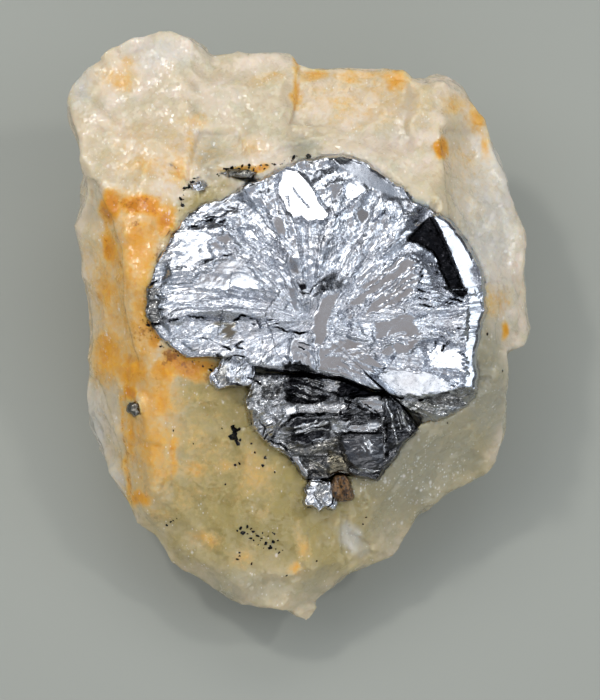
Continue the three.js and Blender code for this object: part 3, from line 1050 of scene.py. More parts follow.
    def break_surface(self, mesh: bpy.types.Mesh, surface: Surface) -> None:
        """Gives the stone its broken faces, ledges and grain.

        Args:
            mesh: The stone's mesh, which is changed.
            surface: The CAD solid's surface. Where the solid is thin, the stone is left as it is.
        """
        mesh.polygons.foreach_set("use_smooth", np.full(len(mesh.polygons), True))
        points = vertex_array(mesh)
        normals = vertex_array(mesh, "normal")
        mm = points / MM
        wobble = soft_shifts(mm, 2.5, (70, 71, 72))
        height = np.zeros(len(mm))
        for (size, depth, tilt, bent), seed in zip(self.facets, self.facet_seeds):
            height += chipped(mm + bent * wobble, size, depth, tilt, seed)
        height -= height.mean()
        height *= spread_least(mesh, smooth_step(0.4, 3.5, thickness(surface.tree, points, normals)), 4)
        places = FACE.to_seen(points)
        front = smooth_step(self.front, self.front + 3, places[:, 2])
        front *= smooth_step(0.3, 0.6, normals @ FACE.axes[2])
        for ledge in self.ledges:
            height -= front * ledge.drop(places[:, :2])
        for seam in (*self.seams, *self.wrinkles):
            height -= self.seam_depth * front * smooth_step(0.3, 0.0, line_distance(places[:, :2], seam))
        moved = mm + height[:, None] * normals
        moved[:, 2] = np.maximum(moved[:, 2], 0)
        place_vertices(mesh, moved * MM)

    def close_seat(self, mesh: bpy.types.Mesh, surface: Surface, crystal: "FoilCrystal") -> None:
        """Draws the stone's face up to a crystal: no gap is left round it, and no lip stands over its rim.

        Args:
            mesh: The stone's mesh, which is changed.
            surface: The CAD solid's surface, whose level beside the seat is carried on to the crystal.
            crystal: The finished crystal.
        """
        seen = FACE.to_seen(vertex_array(mesh))
        outline = crystal.outline[::3]
        low, high = outline.min(axis=0) - self.margin, outline.max(axis=0) + self.margin
        round_it = ((seen[:, :2] > low) & (seen[:, :2] < high)).all(axis=1)
        near_by = np.flatnonzero(round_it & (seen[:, 2] > self.front))
        within = depth_inside(seen[near_by, :2], outline)
        under = near_by[(within > 0) & (within < self.closed)]
        seen[under, 2] = np.minimum(seen[under, 2], crystal.rim_beside(seen[under, :2]) - self.tuck)
        near_by = near_by[within < 0]
        places, out = seen[near_by, :2], seen[near_by, 2]
        nearest = nearest_on_line(places, outline, closed=True)
        away = places - nearest
        distance = np.linalg.norm(away, axis=1)
        way = away / np.maximum(distance, 1e-6)[:, None]
        level = surface.out_at(nearest + self.mouth * way)
        level = np.where(np.isnan(level), out, level)
        filled = smooth_step(self.mouth, 0.6 * self.mouth, distance) * smooth_step(-4, -3, out - level)
        out = out + filled * np.maximum(level - out, 0)
        if not crystal.lying:
            lip = crystal.rim_beside(nearest) - 0.25
            out = np.minimum(out, lip + 0.6 * distance + 8 * smooth_step(1.6, self.margin, distance))
        seen[near_by, 2] = out
        pulled = np.clip((distance - self.opening) / (self.closed - self.opening), 0, 1) * self.closed
        pulled = np.where(distance < self.closed, pulled, distance)
        seen[near_by, :2] = nearest + way * pulled[:, None]
        place_vertices(mesh, FACE.to_part(seen))

    def paint(self, mesh: bpy.types.Mesh, outlines: Sequence[np.ndarray]) -> None:
        """Stores where each colour is, and where painted shadow lies round the crystals.

        Args:
            mesh: The stone's mesh.
            outlines: The crystals' outlines as seen.
        """
        mm = vertex_array(mesh) / MM
        seen = FACE.to_seen(vertex_array(mesh))
        places = seen[:, :2] + 0.35 * soft_shifts(mm, 1.2, (5, 6))
        facing = smooth_step(self.front, self.front + 5, seen[:, 2])
        for name, blotches, spread in (
            ("stain", self.stains, 0.3), ("rust", self.rusts, 0.0), ("moss", self.mosses, 0.3),
            ("chalk", self.chalks, 0.3), ("smoke", self.smokes, 0.2), ("sparkle", self.sparkles, 0.1),
        ):
            hidden = spread * (0.5 + soft_noise(mm, 7, 40 + len(name)))
            layer = facing * covered(blotches, places) + (1 - facing) * hidden
            if name in ("stain", "rust"):
                near = np.min([line_distance(places, seam) for seam in self.seams], axis=0)
                width, strength = (0.6, 0.55) if name == "stain" else (0.16, 0.32)
                layer = np.maximum(layer, strength * facing * smooth_step(width, 0.05, near))
            write_layer(mesh, name, layer)
        # painted shadow where the stone meets the crystals at the left, broken by noise into crumbs
        contact = np.min([line_distance(seen[:, :2], outline, closed=True) for outline in outlines], axis=0)
        crumbs = 0.05 + 0.8 * smooth_step(0.0, 0.6, soft_noise(mm, 1.0, 47))
        left = smooth_step(9, 3, places[:, 0])
        write_layer(mesh, "contact", facing * left * smooth_step(0.6, 0.0, contact) * crumbs)


@dataclass(frozen=True)
class Patch:
    """A plate of a crystal's face with a plane of its own. One with calm below 0 is rougher than the rest."""

    outline: Line
    slope: tuple[float, float] = (0.0, 0.0)
    sink: float = 0.0
    calm: float = 0.0
    # painted black: shadow in gaps and hollows, or dark specks
    black_and_shadow: float = 0.0
    tint: float = 0.0
    shade: float = 0.0
    edge: float = 0.3
    combed: float = 1.0
    dome: float = 0.0

    def share(self, places: np.ndarray, warp: np.ndarray, comb: np.ndarray) -> np.ndarray:
        """How much each place belongs to the plate."""
        shifted = places + (0.3 + 0.7 * self.combed) * warp + self.combed * comb
        return smooth_step(-0.5 * self.edge, self.edge, depth_inside(shifted, self.outline))

    def plane(self, places: np.ndarray, base: np.ndarray, share: np.ndarray) -> np.ndarray:
        """The plate's plane, at the mean level of what it covers.

        Args:
            places: One row of across and up for each place.
            base: The out value of the plain face at each.
            share: How much each place belongs to the plate.

        Returns:
            One out value for each place.
        """
        middle = (places * share[:, None]).sum(axis=0) / share.sum()
        level = (base * share).sum() / share.sum()
        away = places - middle
        rounding = self.dome * np.minimum((away**2).sum(axis=1), 6.0)
        return level + away @ np.array(self.slope) - self.sink - rounding


@dataclass(frozen=True)
class Crease:
    """A line that is pressed into a face and painted dark as its shade, or raised out of it where its depth
    is below 0.
    """

    line: Line
    width: float
    depth: float
    # how dark the pressed line is painted, as its shade
    black_and_shadow: float = 0.9


@dataclass(frozen=True)
class Streaks:
    """A bundle of thin, bright raised folds that run side by side."""

    start: tuple[float, float]
    end: tuple[float, float]
    spread: float
    count: int
    height: float = 0.07
    width: float = 0.1

    def folds(self, seed: int) -> list[Crease]:
        """Lays the folds.

        Args:
            seed: Another seed lays them otherwise.

        Returns:
            The folds.
        """
        random = np.random.default_rng(seed)
        start, way = np.array(self.start), np.array(self.end) - self.start
        across = np.array([-way[1], way[0]]) / np.linalg.norm(way)
        folds = []
        for _ in range(self.count):
            begin, length = 0.6 * random.random(), 0.25 + 0.5 * random.random()
            ends = begin, begin + 0.5 * length, begin + length
            shift = self.spread * (random.random() - 0.5)
            bends = shift, shift + 0.12 * (random.random() - 0.5), shift + 0.3 * (random.random() - 0.5)
            line = np.array([start + way * min(end, 1) + across * bend for end, bend in zip(ends, bends)])
            folds.append(Crease(line, self.width * (0.6 + 0.8 * random.random()), -self.height))
        return folds


@dataclass(frozen=True)
class FacePoints:
    """Where the points of a crystal's face are: as seen, from the crystal's middle, and inside its rim."""

    places: np.ndarray
    radius: np.ndarray
    turn: np.ndarray
    edge: np.ndarray


def pleats(turn: np.ndarray, radius: np.ndarray, width: float, length: float, seed: int) -> np.ndarray:
    """Foil creases that fan out from a middle and keep their width, by splitting as they spread.

    Args:
        turn: The points' angles, in radians.
        radius: Their distances from the middle.
        width: How wide a pleat is.
        length: How long a pleat is.
        seed: Another seed gives other pleats.

    Returns:
        One height for each point, from -1 to 1.
    """
    octave = np.log2(np.maximum(radius, 1.0))
    level = np.floor(octave)
    total = np.zeros_like(radius)
    for step in (0, 1):
        here = level + step
        across = turn * 2**here / width + 1000 * here
        total += (1 - np.abs(octave - here)) * creased_noise(across, radius / length, seed + step)
    return total


@dataclass
class FoilCrystal:
    """A crystal as a fan of fine rings about a middle, with a crumpled face."""

    node: str
    name: str
    middle: tuple[float, float]
    slot: Slot = Slot.BRIGHT
    columns: int = 200
    rings: int = 32
    farthest: float = 21.8
    hold: float = 0.9
    grow: float = 0.0
    lean: tuple[float, float] = (0.0, 0.0)
    lying: float = 0.0
    ragged: float = 0.3
    rim_drop: float = 0.25
    smoothing: int = 3
    drops: Sequence[float] = (0.15, 0.35, 0.6, 0.8, 1.05, 1.25, 1.55, 1.8, 2.1, 2.4, 2.8, 3.3, 99.0)
    crumple: float = 1.0
    # how strongly painted shade, black and brown, lies along the rim
    fringe: float = 0.42
    fringed_to: float = 99.0
    patches: Sequence[Patch] = ()
    creases: Sequence[Crease] = ()
    streaks: Sequence[Streaks] = ()
    outline: np.ndarray | None = None
    rim: np.ndarray | None = None

    def radii(self, surface: Surface, ways: np.ndarray) -> np.ndarray:
        """Finds how far the crystal reaches from its middle each way, as seen.

        Args:
            surface: The CAD solid's surface.
            ways: The directions.

        Returns:
            One radius for each direction.
        """
        middle = np.array(self.middle)
        inner, outer = np.zeros(len(ways)), np.full(len(ways), self.farthest)
        for radius in np.arange(self.farthest, 0, -0.4):
            hit = ~np.isnan(surface.out_at(middle + radius * ways))
            fresh = inner == 0
            inner = np.where(hit & fresh, radius, inner)
            outer = np.where(~hit & fresh, radius, outer)
        for _ in range(6):
            half = (inner + outer) / 2
            hit = ~np.isnan(surface.out_at(middle + half[:, None] * ways))
            inner, outer = np.where(hit, half, inner), np.where(hit, outer, half)
        return inner

    def build(self, frame: dict, material: bpy.types.Material) -> bpy.types.Object:
        """Makes the crystal: its crumpled face, its side, and a plain bottom in its seat.

        Args:
            frame: The loaded frame.
            material: Its material.

        Returns:
            The crystal.
        """
        solid = frame["nodes"][self.node]
        surface = Surface(solid)
        turns = np.linspace(-math.pi, math.pi, self.columns, endpoint=False)
        ways = directions(turns)
        middle = np.array(self.middle)
        plain = self.radii(surface, ways)
        radii = plain + self.grow + self.ragged * (soft_noise(ways * plain[:, None], 0.5, 81) - 0.5)
        radii += np.maximum(ways @ np.array(self.lean), 0)
        self.outline = middle + radii[:, None] * ways
        reach = np.linspace(0, 1, self.rings + 1)[1:, None] ** 0.85 * radii
        held = np.maximum(np.minimum(reach, plain - self.hold), 0.2)
        places = (middle + reach[:, :, None] * ways).reshape(-1, 2)
        under = (middle + held[:, :, None] * ways).reshape(-1, 2)
        base = self.smoothed(surface.out_at(under).reshape(reach.shape)).ravel()
        if self.lying:
            base = np.minimum(base, self.bed(frame, places))
        face = FacePoints(places, reach.ravel(), np.tile(turns, self.rings), (radii - reach).ravel())
        out, looks = self.shape(face, base)
        self.rim = out[-self.columns:]
        floor = FACE.to_seen(vertex_array(solid.data))[:, 2].min() - 0.2
        side = self.side(radii, ways, floor)
        first = [*self.middle, out[: self.columns].mean()]
        seen = np.vstack([first, np.column_stack([places, out]), side, [*self.middle, floor]])
        piece = make_piece(self.name, FACE.to_part(seen), self.fan_faces())
        looks["fan"], looks["along"] = self.grain(face)
        self.write_layers(piece.data, looks)
        dress(piece, material, self.slot, self.node)
        return piece

    def rim_beside(self, places: np.ndarray) -> np.ndarray:
        """The rim's out value nearest to each place."""
        outline = self.outline[::3]
        return np.array([self.rim[::3][((outline - place) ** 2).sum(axis=1).argmin()] for place in places])

    def bed(self, frame: dict, places: np.ndarray, around: float = 1.7, samples: int = 24) -> np.ndarray:
        """How far out the stone's plane under the crystal comes, and the crystal's thickness over it.

        Args:
            frame: The loaded frame.
            places: One row of across and up for each point.
            around: How far from the crystal's middle the stone is measured.
            samples: At how many places.

        Returns:
            One out value for each place.
        """
        beside = self.middle + around * directions(np.linspace(0, 2 * math.pi, samples, endpoint=False))
        outs = Surface(frame["nodes"][QuartzMatrix.node]).out_at(beside)
        found = ~np.isnan(outs)
        rows = np.column_stack([beside, np.ones(samples)])
        plane = np.linalg.lstsq(rows[found], outs[found], rcond=None)[0]
        return places @ plane[:2] + plane[2] + self.lying

    def write_layers(self, mesh: bpy.types.Mesh, looks: dict[str, np.ndarray]) -> None:
        """Stores what the material reads at each vertex.

        Args:
            mesh: The crystal's mesh.
            looks: Each layer's values at the face's points.
        """
        rows = len(self.drops)
        for name, values in looks.items():
            side = np.tile(values[-self.columns:], rows)
            # the side is painted dark in uneven bands, as painted shade
            if name == "black_and_shadow":
                side = 0.18 + 0.4 * np.repeat(scatter([np.arange(rows)], 5), self.columns)
            write_layer(mesh, name, np.concatenate([values[:1], values, side, values[-1:]]))

    def smoothed(self, out: np.ndarray) -> np.ndarray:
        """Softens the CAD solid's facets.

        Args:
            out: The out values, one row for each ring.

        Returns:
            The softened values.
        """
        out = np.where(np.isnan(out), np.nanmean(out), out)
        for _ in range(self.smoothing):
            out = 0.5 * out + 0.25 * (np.roll(out, 1, axis=1) + np.roll(out, -1, axis=1))
            out = 0.5 * out + 0.25 * (np.vstack([out[:1], out[:-1]]) + np.vstack([out[1:], out[-1:]]))
        return out

    def side(self, radii: np.ndarray, ways: np.ndarray, floor: float) -> np.ndarray:
        """Makes the side, which flares out a little into the seat.

        Args:
            radii: The rim's radius at each angle.
            ways: The direction of each angle.
            floor: The out value of the bottom.

        Returns:
            The seen points of the side's rows, from the rim down.
        """
        rows = []
        for drop in self.drops:
            places = self.middle + (radii + 0.1 * min(drop, 3.0))[:, None] * ways
            ripple = 0.13 * soft_noise(np.column_stack([0.25 * places, np.full(len(places), drop)]), 0.3, 91)
            out = np.maximum(self.rim - drop, floor)
            rows.append(np.column_stack([places + ripple[:, None] * ways, out]))
        return np.vstack(rows)

    def fan_faces(self) -> list[tuple[int, ...]]:
        """Joins the face's rings and the side's rows into faces, with a fan at each end.

        Returns:
            The faces.
        """
        n = self.columns
        last = 1 + (self.rings + len(self.drops) - 1) * n
        faces: list[tuple[int, ...]] = []
        for j in range(n):
            after = (j + 1) % n
            faces.append((0, 1 + j, 1 + after))
            for here in range(1, last, n):
                faces.append((here + j, here + n + j, here + n + after, here + after))
            faces.append((last + n, last + after, last + j))
        return faces

    def grain(self, face: FacePoints) -> np.ndarray:
        """Which way the fine striations run: numbers across and along them, in millimetres."""
        return face.places.T

    def comb(self, face: FacePoints) -> np.ndarray:
        """How far the plates' edges are drawn out along the striations."""
        return np.zeros_like(face.places)

    def darkening(self, face: FacePoints) -> np.ndarray:
        """How much painted shade darkens the face between its named plates."""
        return np.zeros_like(face.radius)

    def folds(self, face: FacePoints) -> np.ndarray:
        """Where narrow folds run between the plates, painted dark as their shade."""
        net = np.abs(creased_noise(face.places[:, 0] / 0.8, face.places[:, 1] / 0.7, 14))
        return smooth_step(0.16, 0.03, net) * smooth_step(-0.1, 0.4, soft_noise(face.places, 1.2, 15))

    def roughness(self, face: FacePoints) -> np.ndarray:
        """The crumpled face's heights over its plates.

        Args:
            face: The face's points.

        Returns:
            One height for each point.
        """
        across, up = face.places.T
        small = creased_noise(across / 0.32, up / 0.32, 9)
        return 0.22 * creased_noise(across / 0.9, up / 0.8, 8) + 0.07 * small

    def shape(self, face: FacePoints, base: np.ndarray) -> tuple[np.ndarray, dict[str, np.ndarray]]:
        """Works the roughness, the plates and the creases into the plain face.

        Args:
            face: The face's points.
            base: The plain face's out values.

        Returns:
            The finished out values, and the values of each look.
        """
        places = face.places
        rough = self.crumple * self.roughness(face)
        warp = 0.22 * soft_shifts(places, 1.0, (51, 52)) + 0.1 * soft_shifts(places, 0.3, (53, 54))
        comb = self.comb(face)
        folds = self.folds(face)
        out = base + rough - 0.14 * folds
        plain = np.zeros(len(places))
        # the folds are painted black as shade, and the face starts with its painted shade
        looks = {"calm": plain, "black_and_shadow": 0.75 * folds, "tint": plain.copy(), "shade": self.darkening(face)}
        for patch in self.patches:
            share = patch.share(places, warp, comb)
            if share.sum() == 0:
                continue
            own = patch.plane(places, base, share) + rough * (1 - patch.calm)
            out += share * (own - out)
            for name, values in looks.items():
                values += share * (getattr(patch, name) - values)
        coming = smooth_step(-0.4, 0.35, soft_noise(places, 0.6, 56))
        raised = [fold for k, bundle in enumerate(self.streaks) for fold in bundle.folds(k)]
        for crease in (*self.creases, *raised):
            away = line_distance(places + 0.8 * warp, crease.line)
            near = smooth_step(crease.width, 0.2 * crease.width, away)
            out -= crease.depth * near * (0.4 + 0.6 * coming)
            # a pressed crease is painted dark as its shade; a raised fold clears the painted shade
            if crease.depth > 0:
                looks["black_and_shadow"] = np.maximum(looks["black_and_shadow"], crease.black_and_shadow * near * coming)
            else:
                looks["black_and_shadow"] *= 1 - near
                looks["shade"] *= 1 - near
        # painted shade along the rim, black and brown, broken by noise
        fringe = self.fringe * smooth_step(0.8, 0.1, face.edge)
        fringe *= smooth_step(-0.3, 0.4, soft_noise(places, 0.5, 57))
        fringe *= smooth_step(self.fringed_to + 3, self.fringed_to, places[:, 0])
        for name in ("black_and_shadow", "tint"):
            looks[name] = np.maximum(looks[name], fringe)
        chips = 0.6 + 0.6 * soft_noise(places, 0.7, 55)
        out -= self.rim_drop * chips * smooth_step(0.35, 0, face.edge) ** 2
        return out, looks


@dataclass
class Rosette(FoilCrystal):
    """The bright fan of crumpled plates."""

    node: str = "molybdenite_rosette"
    name: str = "rosette"
    middle: tuple[float, float] = (0.8, 2.6)
    columns: int = 780
    rings: int = 110
    rim_drop: float = 0.15
    ragged: float = 0.12
    fringed_to: float = 1.5
    bend: float = 0.04
    pleat_rows: Rows = ((0.36, 2.4, 8.0, 1), (0.18, 0.95, 5.0, 3), (0.085, 0.42, 2.6, 5), (0.03, 0.2, 1.6, 9))
    crumples: Rows = (
        (2.4, 8.6, 3.4, 3.2, 0.85), (-6, 0.3, 8, 2.2, 0.9), (-11.5, 9, 2.6, 3, 0.7), (8.5, 12.2, 3.5, 2, 0.7),
        (13.5, -1.5, 3, 2.6, 0.8), (4, 14.5, 3.5, 2, 0.6), (-9, 12, 3.5, 1.5, 0.6), (-2, 9.5, 1.5, 3, 0.4),
    )
    # where the folds, painted dark as shade, run thick
    dark_folds: Rows = (
        (-7.5, 12.1, 1.9, 0.9), (-11, 7.3, 0.8, 0.5, 0.8), (-13.2, 4, 0.9, 2.4), (1.8, 5.8, 2.1, 1.1),
        (8.4, 12.2, 2, 1.2, 0.72), (11.5, 7.4, 1.3, 1.9, 0.8), (13.6, 1.4, 2.6, 1.2, 0.9),
        (-2.8, 2.4, 1.9, 0.8, 0.8), (-6, -1, 1.8, 1.8), (4.7, -1.8, 2.8, 1.1, 0.6), (14.7, -3.5, 1.5, 0.8),
        (5.4, 9.2, 1, 1, 0.6), (-4, 10, 7, 5, 0.35), (6, 10, 7, 5, 0.35), (0, 2, 16, 7, 0.28),
    )
    patches: Sequence[Patch] = (
        # the left lobe
        Patch((-12.2, 9.1, -11.8, 10.7, -10.4, 11.4, -8.3, 10.95, -7.9, 9.3, -7.7, 8.3, -9.7, 7.4,
            -11.8, 7.4), slope=(0.24, -0.16), calm=0.2),
        Patch((-12.6, 4.3, -11.6, 5.5, -9.9, 6.2, -8.8, 7.5, -6.2, 8.6, -4.7, 8.1, -3.6, 6.5, -3.2, 5.1,
            -6, 5.3, -8.8, 4.3, -11.5, 3.9), slope=(0.12, -0.1), calm=0.72, combed=0.7, edge=0.5,
            dome=-0.018),
        Patch((-8.1, 10.7, -6.8, 10.95, -6.2, 10.1, -6.4, 9.1, -7.7, 8.9), calm=0.85),
        # the pleats above it
        Patch((-5.4, 11.2, -4.5, 11.4, -2.9, 9.7, -1.2, 8.2, -1.6, 7.7, -3.5, 8.65, -5.2, 10.1),
            slope=(0.29, -0.16), calm=0.5),
        Patch((-3.5, 13, -2.9, 12.8, -2, 10.1, -1.2, 8.9, -1.8, 8.9, -2.9, 10.7), slope=(0.34, -0.18),
            calm=0.5),
        Patch((-2.65, 12.6, -1.8, 12.8, -1.2, 11.6, -1.1, 10.3, -2, 10.1, -2.5, 11.4), calm=0.85),
        # the large white plate and its neighbours, two of them painted darker as shade
        Patch((-2.2, 16, -1.2, 16.6, 0.07, 16.4, 1.3, 14.9, 2.8, 12.2, 2.15, 11.4, 1, 11.5, -0.14, 11.8,
            -1.2, 12.2, -1.8, 13.45, -2.3, 14.7), slope=TO_KEY, calm=0.8, combed=0.6),
        Patch((2.6, 15.3, 3.8, 15.65, 4.1, 14.7, 3.4, 13.45, 2.8, 13.25, 2.5, 14.5), slope=(-0.05, 0.05),
            calm=0.8, shade=0.2),
        Patch((4, 15.1, 5.5, 15.5, 6.7, 14.9, 6.3, 14.3, 4.9, 13.45, 4.1, 13.9), slope=(0.3, -0.2), calm=0.6),
        Patch((5, 12.9, 5.7, 13.1, 6.3, 12.8, 6.5, 12.2, 6.2, 11.7, 5.6, 11.5, 5, 11.8, 4.85, 12.4),
            calm=0.95, shade=0.45, sink=0.1, combed=0),
        # the rolled rim at the upper right, painted darker grey as shade
        Patch((2.5, 17.6, 4.5, 17.5, 6.9, 16.6, 8.7, 15.4, 10.3, 13.6, 9.5, 13.2, 7.6, 13.8, 6, 14.5,
            4.7, 15.5, 3.2, 16.5), slope=(-0.27, -0.37), calm=0.97, shade=0.25, edge=0.6, combed=0.2,
            dome=0.012),
        # the right end: a gap painted black as its shadow, a bright strip beside it, and the bluish edge
        Patch((11.9, 12.2, 9.7, 10.1, 11, 9.4, 12.1, 9, 12.55, 8.1, 13.05, 6.8, 13.5, 5.5, 14.8, 4.8,
            15.1, 5.2, 13.9, 8, 12.7, 10.5), sink=0.9, black_and_shadow=1.0, edge=0.15, combed=0.1),
        Patch((12, 12.3, 13.1, 12.4, 14.5, 11.1, 15.7, 9.1, 16.3, 6.9, 16.3, 5.2, 15.2, 4.9, 14, 8,
            12.9, 10.4), slope=(-0.38, -0.1), calm=0.85, edge=0.15, combed=0),
        Patch((15.2, 5.1, 16.8, 5.1, 16.9, 2.7, 16.8, -1.4, 16, -3.9, 14.9, -3.8, 14.9, -0.9, 15.1, 2.7),
            slope=(-0.38, -0.1), calm=0.7, edge=0.2, combed=0.2),
        # the flat mirrors in the middle
        Patch((4.3, 1.9, 4.8, 4.4, 5.6, 6.9, 7.6, 8, 10, 8.6, 11.1, 7.2, 10.6, 5.4, 9.4, 4, 7.6, 3.4, 5.9, 3),
            calm=0.95, combed=1.2),
        Patch((6.3, 0.1, 6.7, 2, 8, 3.4, 10.6, 3.3, 11, 1.5, 10, 0, 7.7, -0.7), slope=(0.01, 0.03), calm=0.93,
            combed=1.2),
        Patch((0.9, -2, 1.8, 0, 4.2, 1.2, 6.4, 0.6, 7.3, -1.2, 5.9, -2.4, 3.9, -2.7), slope=(0.03, 0),
            calm=0.93, combed=1.2),
        Patch((0.9, 0.2, 1.1, 2.8, 1.9, 4.7, 3.7, 5.6, 4.4, 4.2, 3.6, 2, 2.1, 0.2), slope=(-0.03, 0.02),
            calm=0.95, combed=1.0),
        Patch((-1.1, -1.7, -1, 0.9, 0.2, 1.3, 1.1, 0, 1.4, -1.9, 0.2, -2), slope=(0.03, -0.03), calm=0.8,
            combed=0.3),
        Patch((5.5, 2.6, 6.7, 2.4, 6.5, 1.1, 5.7, 1.35), slope=(0.26, -0.2), calm=0.6, combed=0.3),
        # the bright lower edge
        Patch((10.9, 0.8, 12.5, 1.1, 14.6, 0.3, 15.2, -1.5, 15, -2.3, 12.5, -1.9, 11.4, -1.1),
            slope=(0.3, -0.2), calm=0.62),
        Patch((6.6, -2.3, 8.8, -1.6, 11.75, -1.8, 13.4, -2.6, 14.2, -3.7, 11.75, -4.2, 9, -4.3, 7.6, -3.2),
            slope=(0.1, 0.42), calm=0.72, combed=0.6),
        # the crumple at the hub, painted dark as shade
        Patch((1.2, 6, 2.4, 6.9, 3.9, 6.7, 4, 5.6, 2.8, 5.1, 0.6, 4.8), slope=(0.1, 0.2), calm=-1.5,
            black_and_shadow=0.52, shade=0.4),
        # the lower left lobes, with painted shade, and the black tip painted as shadow
        Patch((-7.5, 2.6, -5.8, 2.8, -6, 1.1, -7.2, 0.9), calm=0.8, tint=0.8, shade=0.2),
        Patch((-1.3, 8.2, -0.6, 8.5, -0.1, 8, -0.3, 6.7, -1, 6.9), calm=0.5, black_and_shadow=0.3, shade=0.5),
        Patch((-1.3, 6.2, -0.4, 6.1, 0, 4.4, -0.3, 3.2, -1, 3.8), slope=(0.05, 0.1), calm=0.8, black_and_shadow=0.2,
            shade=0.3),
        Patch((-14.2, 5.8, -12.9, 6, -12.8, 3.9, -12.9, 1.9, -14.2, 1.8), calm=0.0, black_and_shadow=0.42, tint=0.5,
            shade=0.5, combed=0.6),
        Patch((-1.8, -1.4, -0.7, -0.9, 0.6, -1.1, 2, -1.8, 3.4, -2.6, 0, -2.6, -1.6, -2.2), slope=(0, 0.4),
            black_and_shadow=0.62, shade=0.7, calm=-1, sink=0.15),
        Patch((-5.6, -0.9, -4, -0.5, -2, -1.1, -1.8, -2, -4, -1.8, -5.8, -1.4), slope=(0, 0.3), black_and_shadow=0.4,
            calm=-1),
        # the folded skirt, with painted shade in its folds
        Patch((6.8, -3.9, 8.3, -4.2, 10, -4.45, 11.8, -4.45, 13.6, -3.8, 15.5, -3.5, 16.5, -4.1, 15.9, -5.2,
            14.1, -6.2, 12.7, -7, 11.4, -7.4, 10.4, -7.4), slope=(-0.1, 0.5), sink=0.3, black_and_shadow=0.38, tint=0.4,
            calm=-2.6, combed=0.3),
    )
    creases: Sequence[Crease] = (
        Crease((-14, 2.5, -13.2, 2.4, -11.8, 2.9, -10, 3.1, -7.6, 2.8, -6.5, 2.7, -5.5, 2.9, -5.2, 3.2,
            -4, 2.8, -3.6, 2.1, -2.3, 2.1, -1, 1.8, 0, 1.5, 1.1, 1.6), 0.13, 0.35, 0.75),
        Crease((7.2, -3.7, 9, -4.4, 11.8, -4.5, 13.9, -3.7, 15.7, -3.4), 0.2, 0.3),
        Crease((-9.7, 7, -8.6, 8, -7.3, 8.6, -5.8, 8.8), 0.12, 0.15, 0.7),
        Crease((-11.8, 1, -10.5, 0.9, -8.8, 1.2, -7.5, 0.5, -6.4, 0), 0.1, 0.15),
        Crease((-9.9, 11.2, -8.9, 11.5, -8, 11.9), 0.16, 0.3),
        Crease((-7, 12.5, -6.4, 11.8, -5.9, 11.3), 0.12, 0.3),
        Crease((-0.7, 14.6, -0.15, 13.9, 0.6, 13.1), 0.1, 0.12, 0.4),
        Crease((-1.2, 13.8, -0.9, 13), 0.1, 0.15, 0.4),
        Crease((3.2, 12, 4.2, 13, 6.3, 14.6), 0.11, 0.25, 0.35),
        Crease((6.6, 11.6, 7.6, 12.5, 9, 11.9, 9.9, 13), 0.11, 0.25, 0.3),
        Crease((10.5, 5.5, 13, 5.1, 14.7, 4.5), 0.12, 0.25),
        Crease((10.1, 4.7, 12.6, 4.5, 14.9, 4.1), 0.1, 0.2),
        Crease((11.1, 4.2, 13, 3.9, 14.7, 3.7), 0.09, 0.15),
        Crease((10.9, 6.15, 13, 5.5, 14.5, 4.8), 0.14, -0.15),
        Crease((-0.14, 0.7, 0.9, 0.3), 0.08, 0.12),
        Crease((-0.3, 0.2, 0.8, -0.2), 0.08, 0.12),
        Crease((-0.4, -0.3, 0.6, -0.6), 0.07, 0.1),
        Crease((11.9, -0.1, 12.5, 0.7), 0.14, 0.25),
        Crease((13, 0, 13.6, 0.9), 0.12, 0.25),
    )
    streaks: Sequence[Streaks] = (
        Streaks((2.2, 0.2), (5, 6.6), 0.9, 14, 0.09), Streaks((4.1, 1), (6.4, 5), 0.9, 8, 0.07),
        Streaks((5, -0.2), (10.5, 1), 1.6, 12, 0.07), Streaks((7.5, 3.4), (11.5, 5), 0.9, 8, 0.07),
        Streaks((4.5, 3.5), (10.5, 7.8), 3.2, 14, 0.07), Streaks((2, -0.5), (6, -2), 1.8, 8, 0.06),
        Streaks((10, 5), (15.2, 4.6), 2.2, 12, 0.08), Streaks((11, 1.4), (15.2, 1.3), 1.8, 10, 0.07),
        Streaks((5.5, 8), (9.5, 12), 2.5, 10, 0.07), Streaks((2.5, 8), (3.5, 12.5), 1.8, 8, 0.08),
        Streaks((-3, 4.5), (-11.5, 5.2), 2.6, 4, 0.05), Streaks((-1.2, 6.8), (-7, 10.8), 2.4, 11, 0.09),
        Streaks((-1, 8.2), (-4.8, 12.8), 2.0, 9, 0.09), Streaks((2.2, -1), (6.2, -0.2), 1.2, 6, 0.05),
    )

    def comb(self, face: FacePoints) -> np.ndarray:
        """How far the plates' edges are drawn out along the striations."""
        reach = 0.75 * pleats(self.bent(face), face.radius, 0.34, 3.0, 17) * smooth_step(1, 4, face.radius)
        return reach[:, None] * directions(face.turn)

    def folds(self, face: FacePoints) -> np.ndarray:
        """Where narrow folds run between the plates, painted dark as their shade.

        Args:
            face: The face's points.

        Returns:
            Numbers from 0 to 1.
        """
        density = covered(self.dark_folds, face.places)
        turn = self.bent(face) + 0.06 * soft_noise(face.places, 1.5, 65)
        along = face.radius + 0.6 * soft_noise(face.places, 1.0, 66)
        thin = smooth_step(0.14, 0.03, np.abs(pleats(turn, along, 0.7, 1.5, 19)))
        gate = soft_noise(face.places, 0.6, 67) * 0.5 + 0.5
        return thin * smooth_step(1.15 - density, 1.45 - density, gate + 0.35 * density)

    def bent(self, face: FacePoints) -> np.ndarray:
        """The angle at which the pleat through each point leaves the middle: pleats bend like palm leaves."""
        upward = smooth_step(-0.4, 0.5, np.sin(face.turn))
        return face.turn + self.bend * face.radius * np.cos(face.turn) * upward

    def grain(self, face: FacePoints) -> np.ndarray:
        """Which way the fine striations run: numbers across and along them, in millimetres."""
        return np.stack([8 * self.bent(face), face.radius])

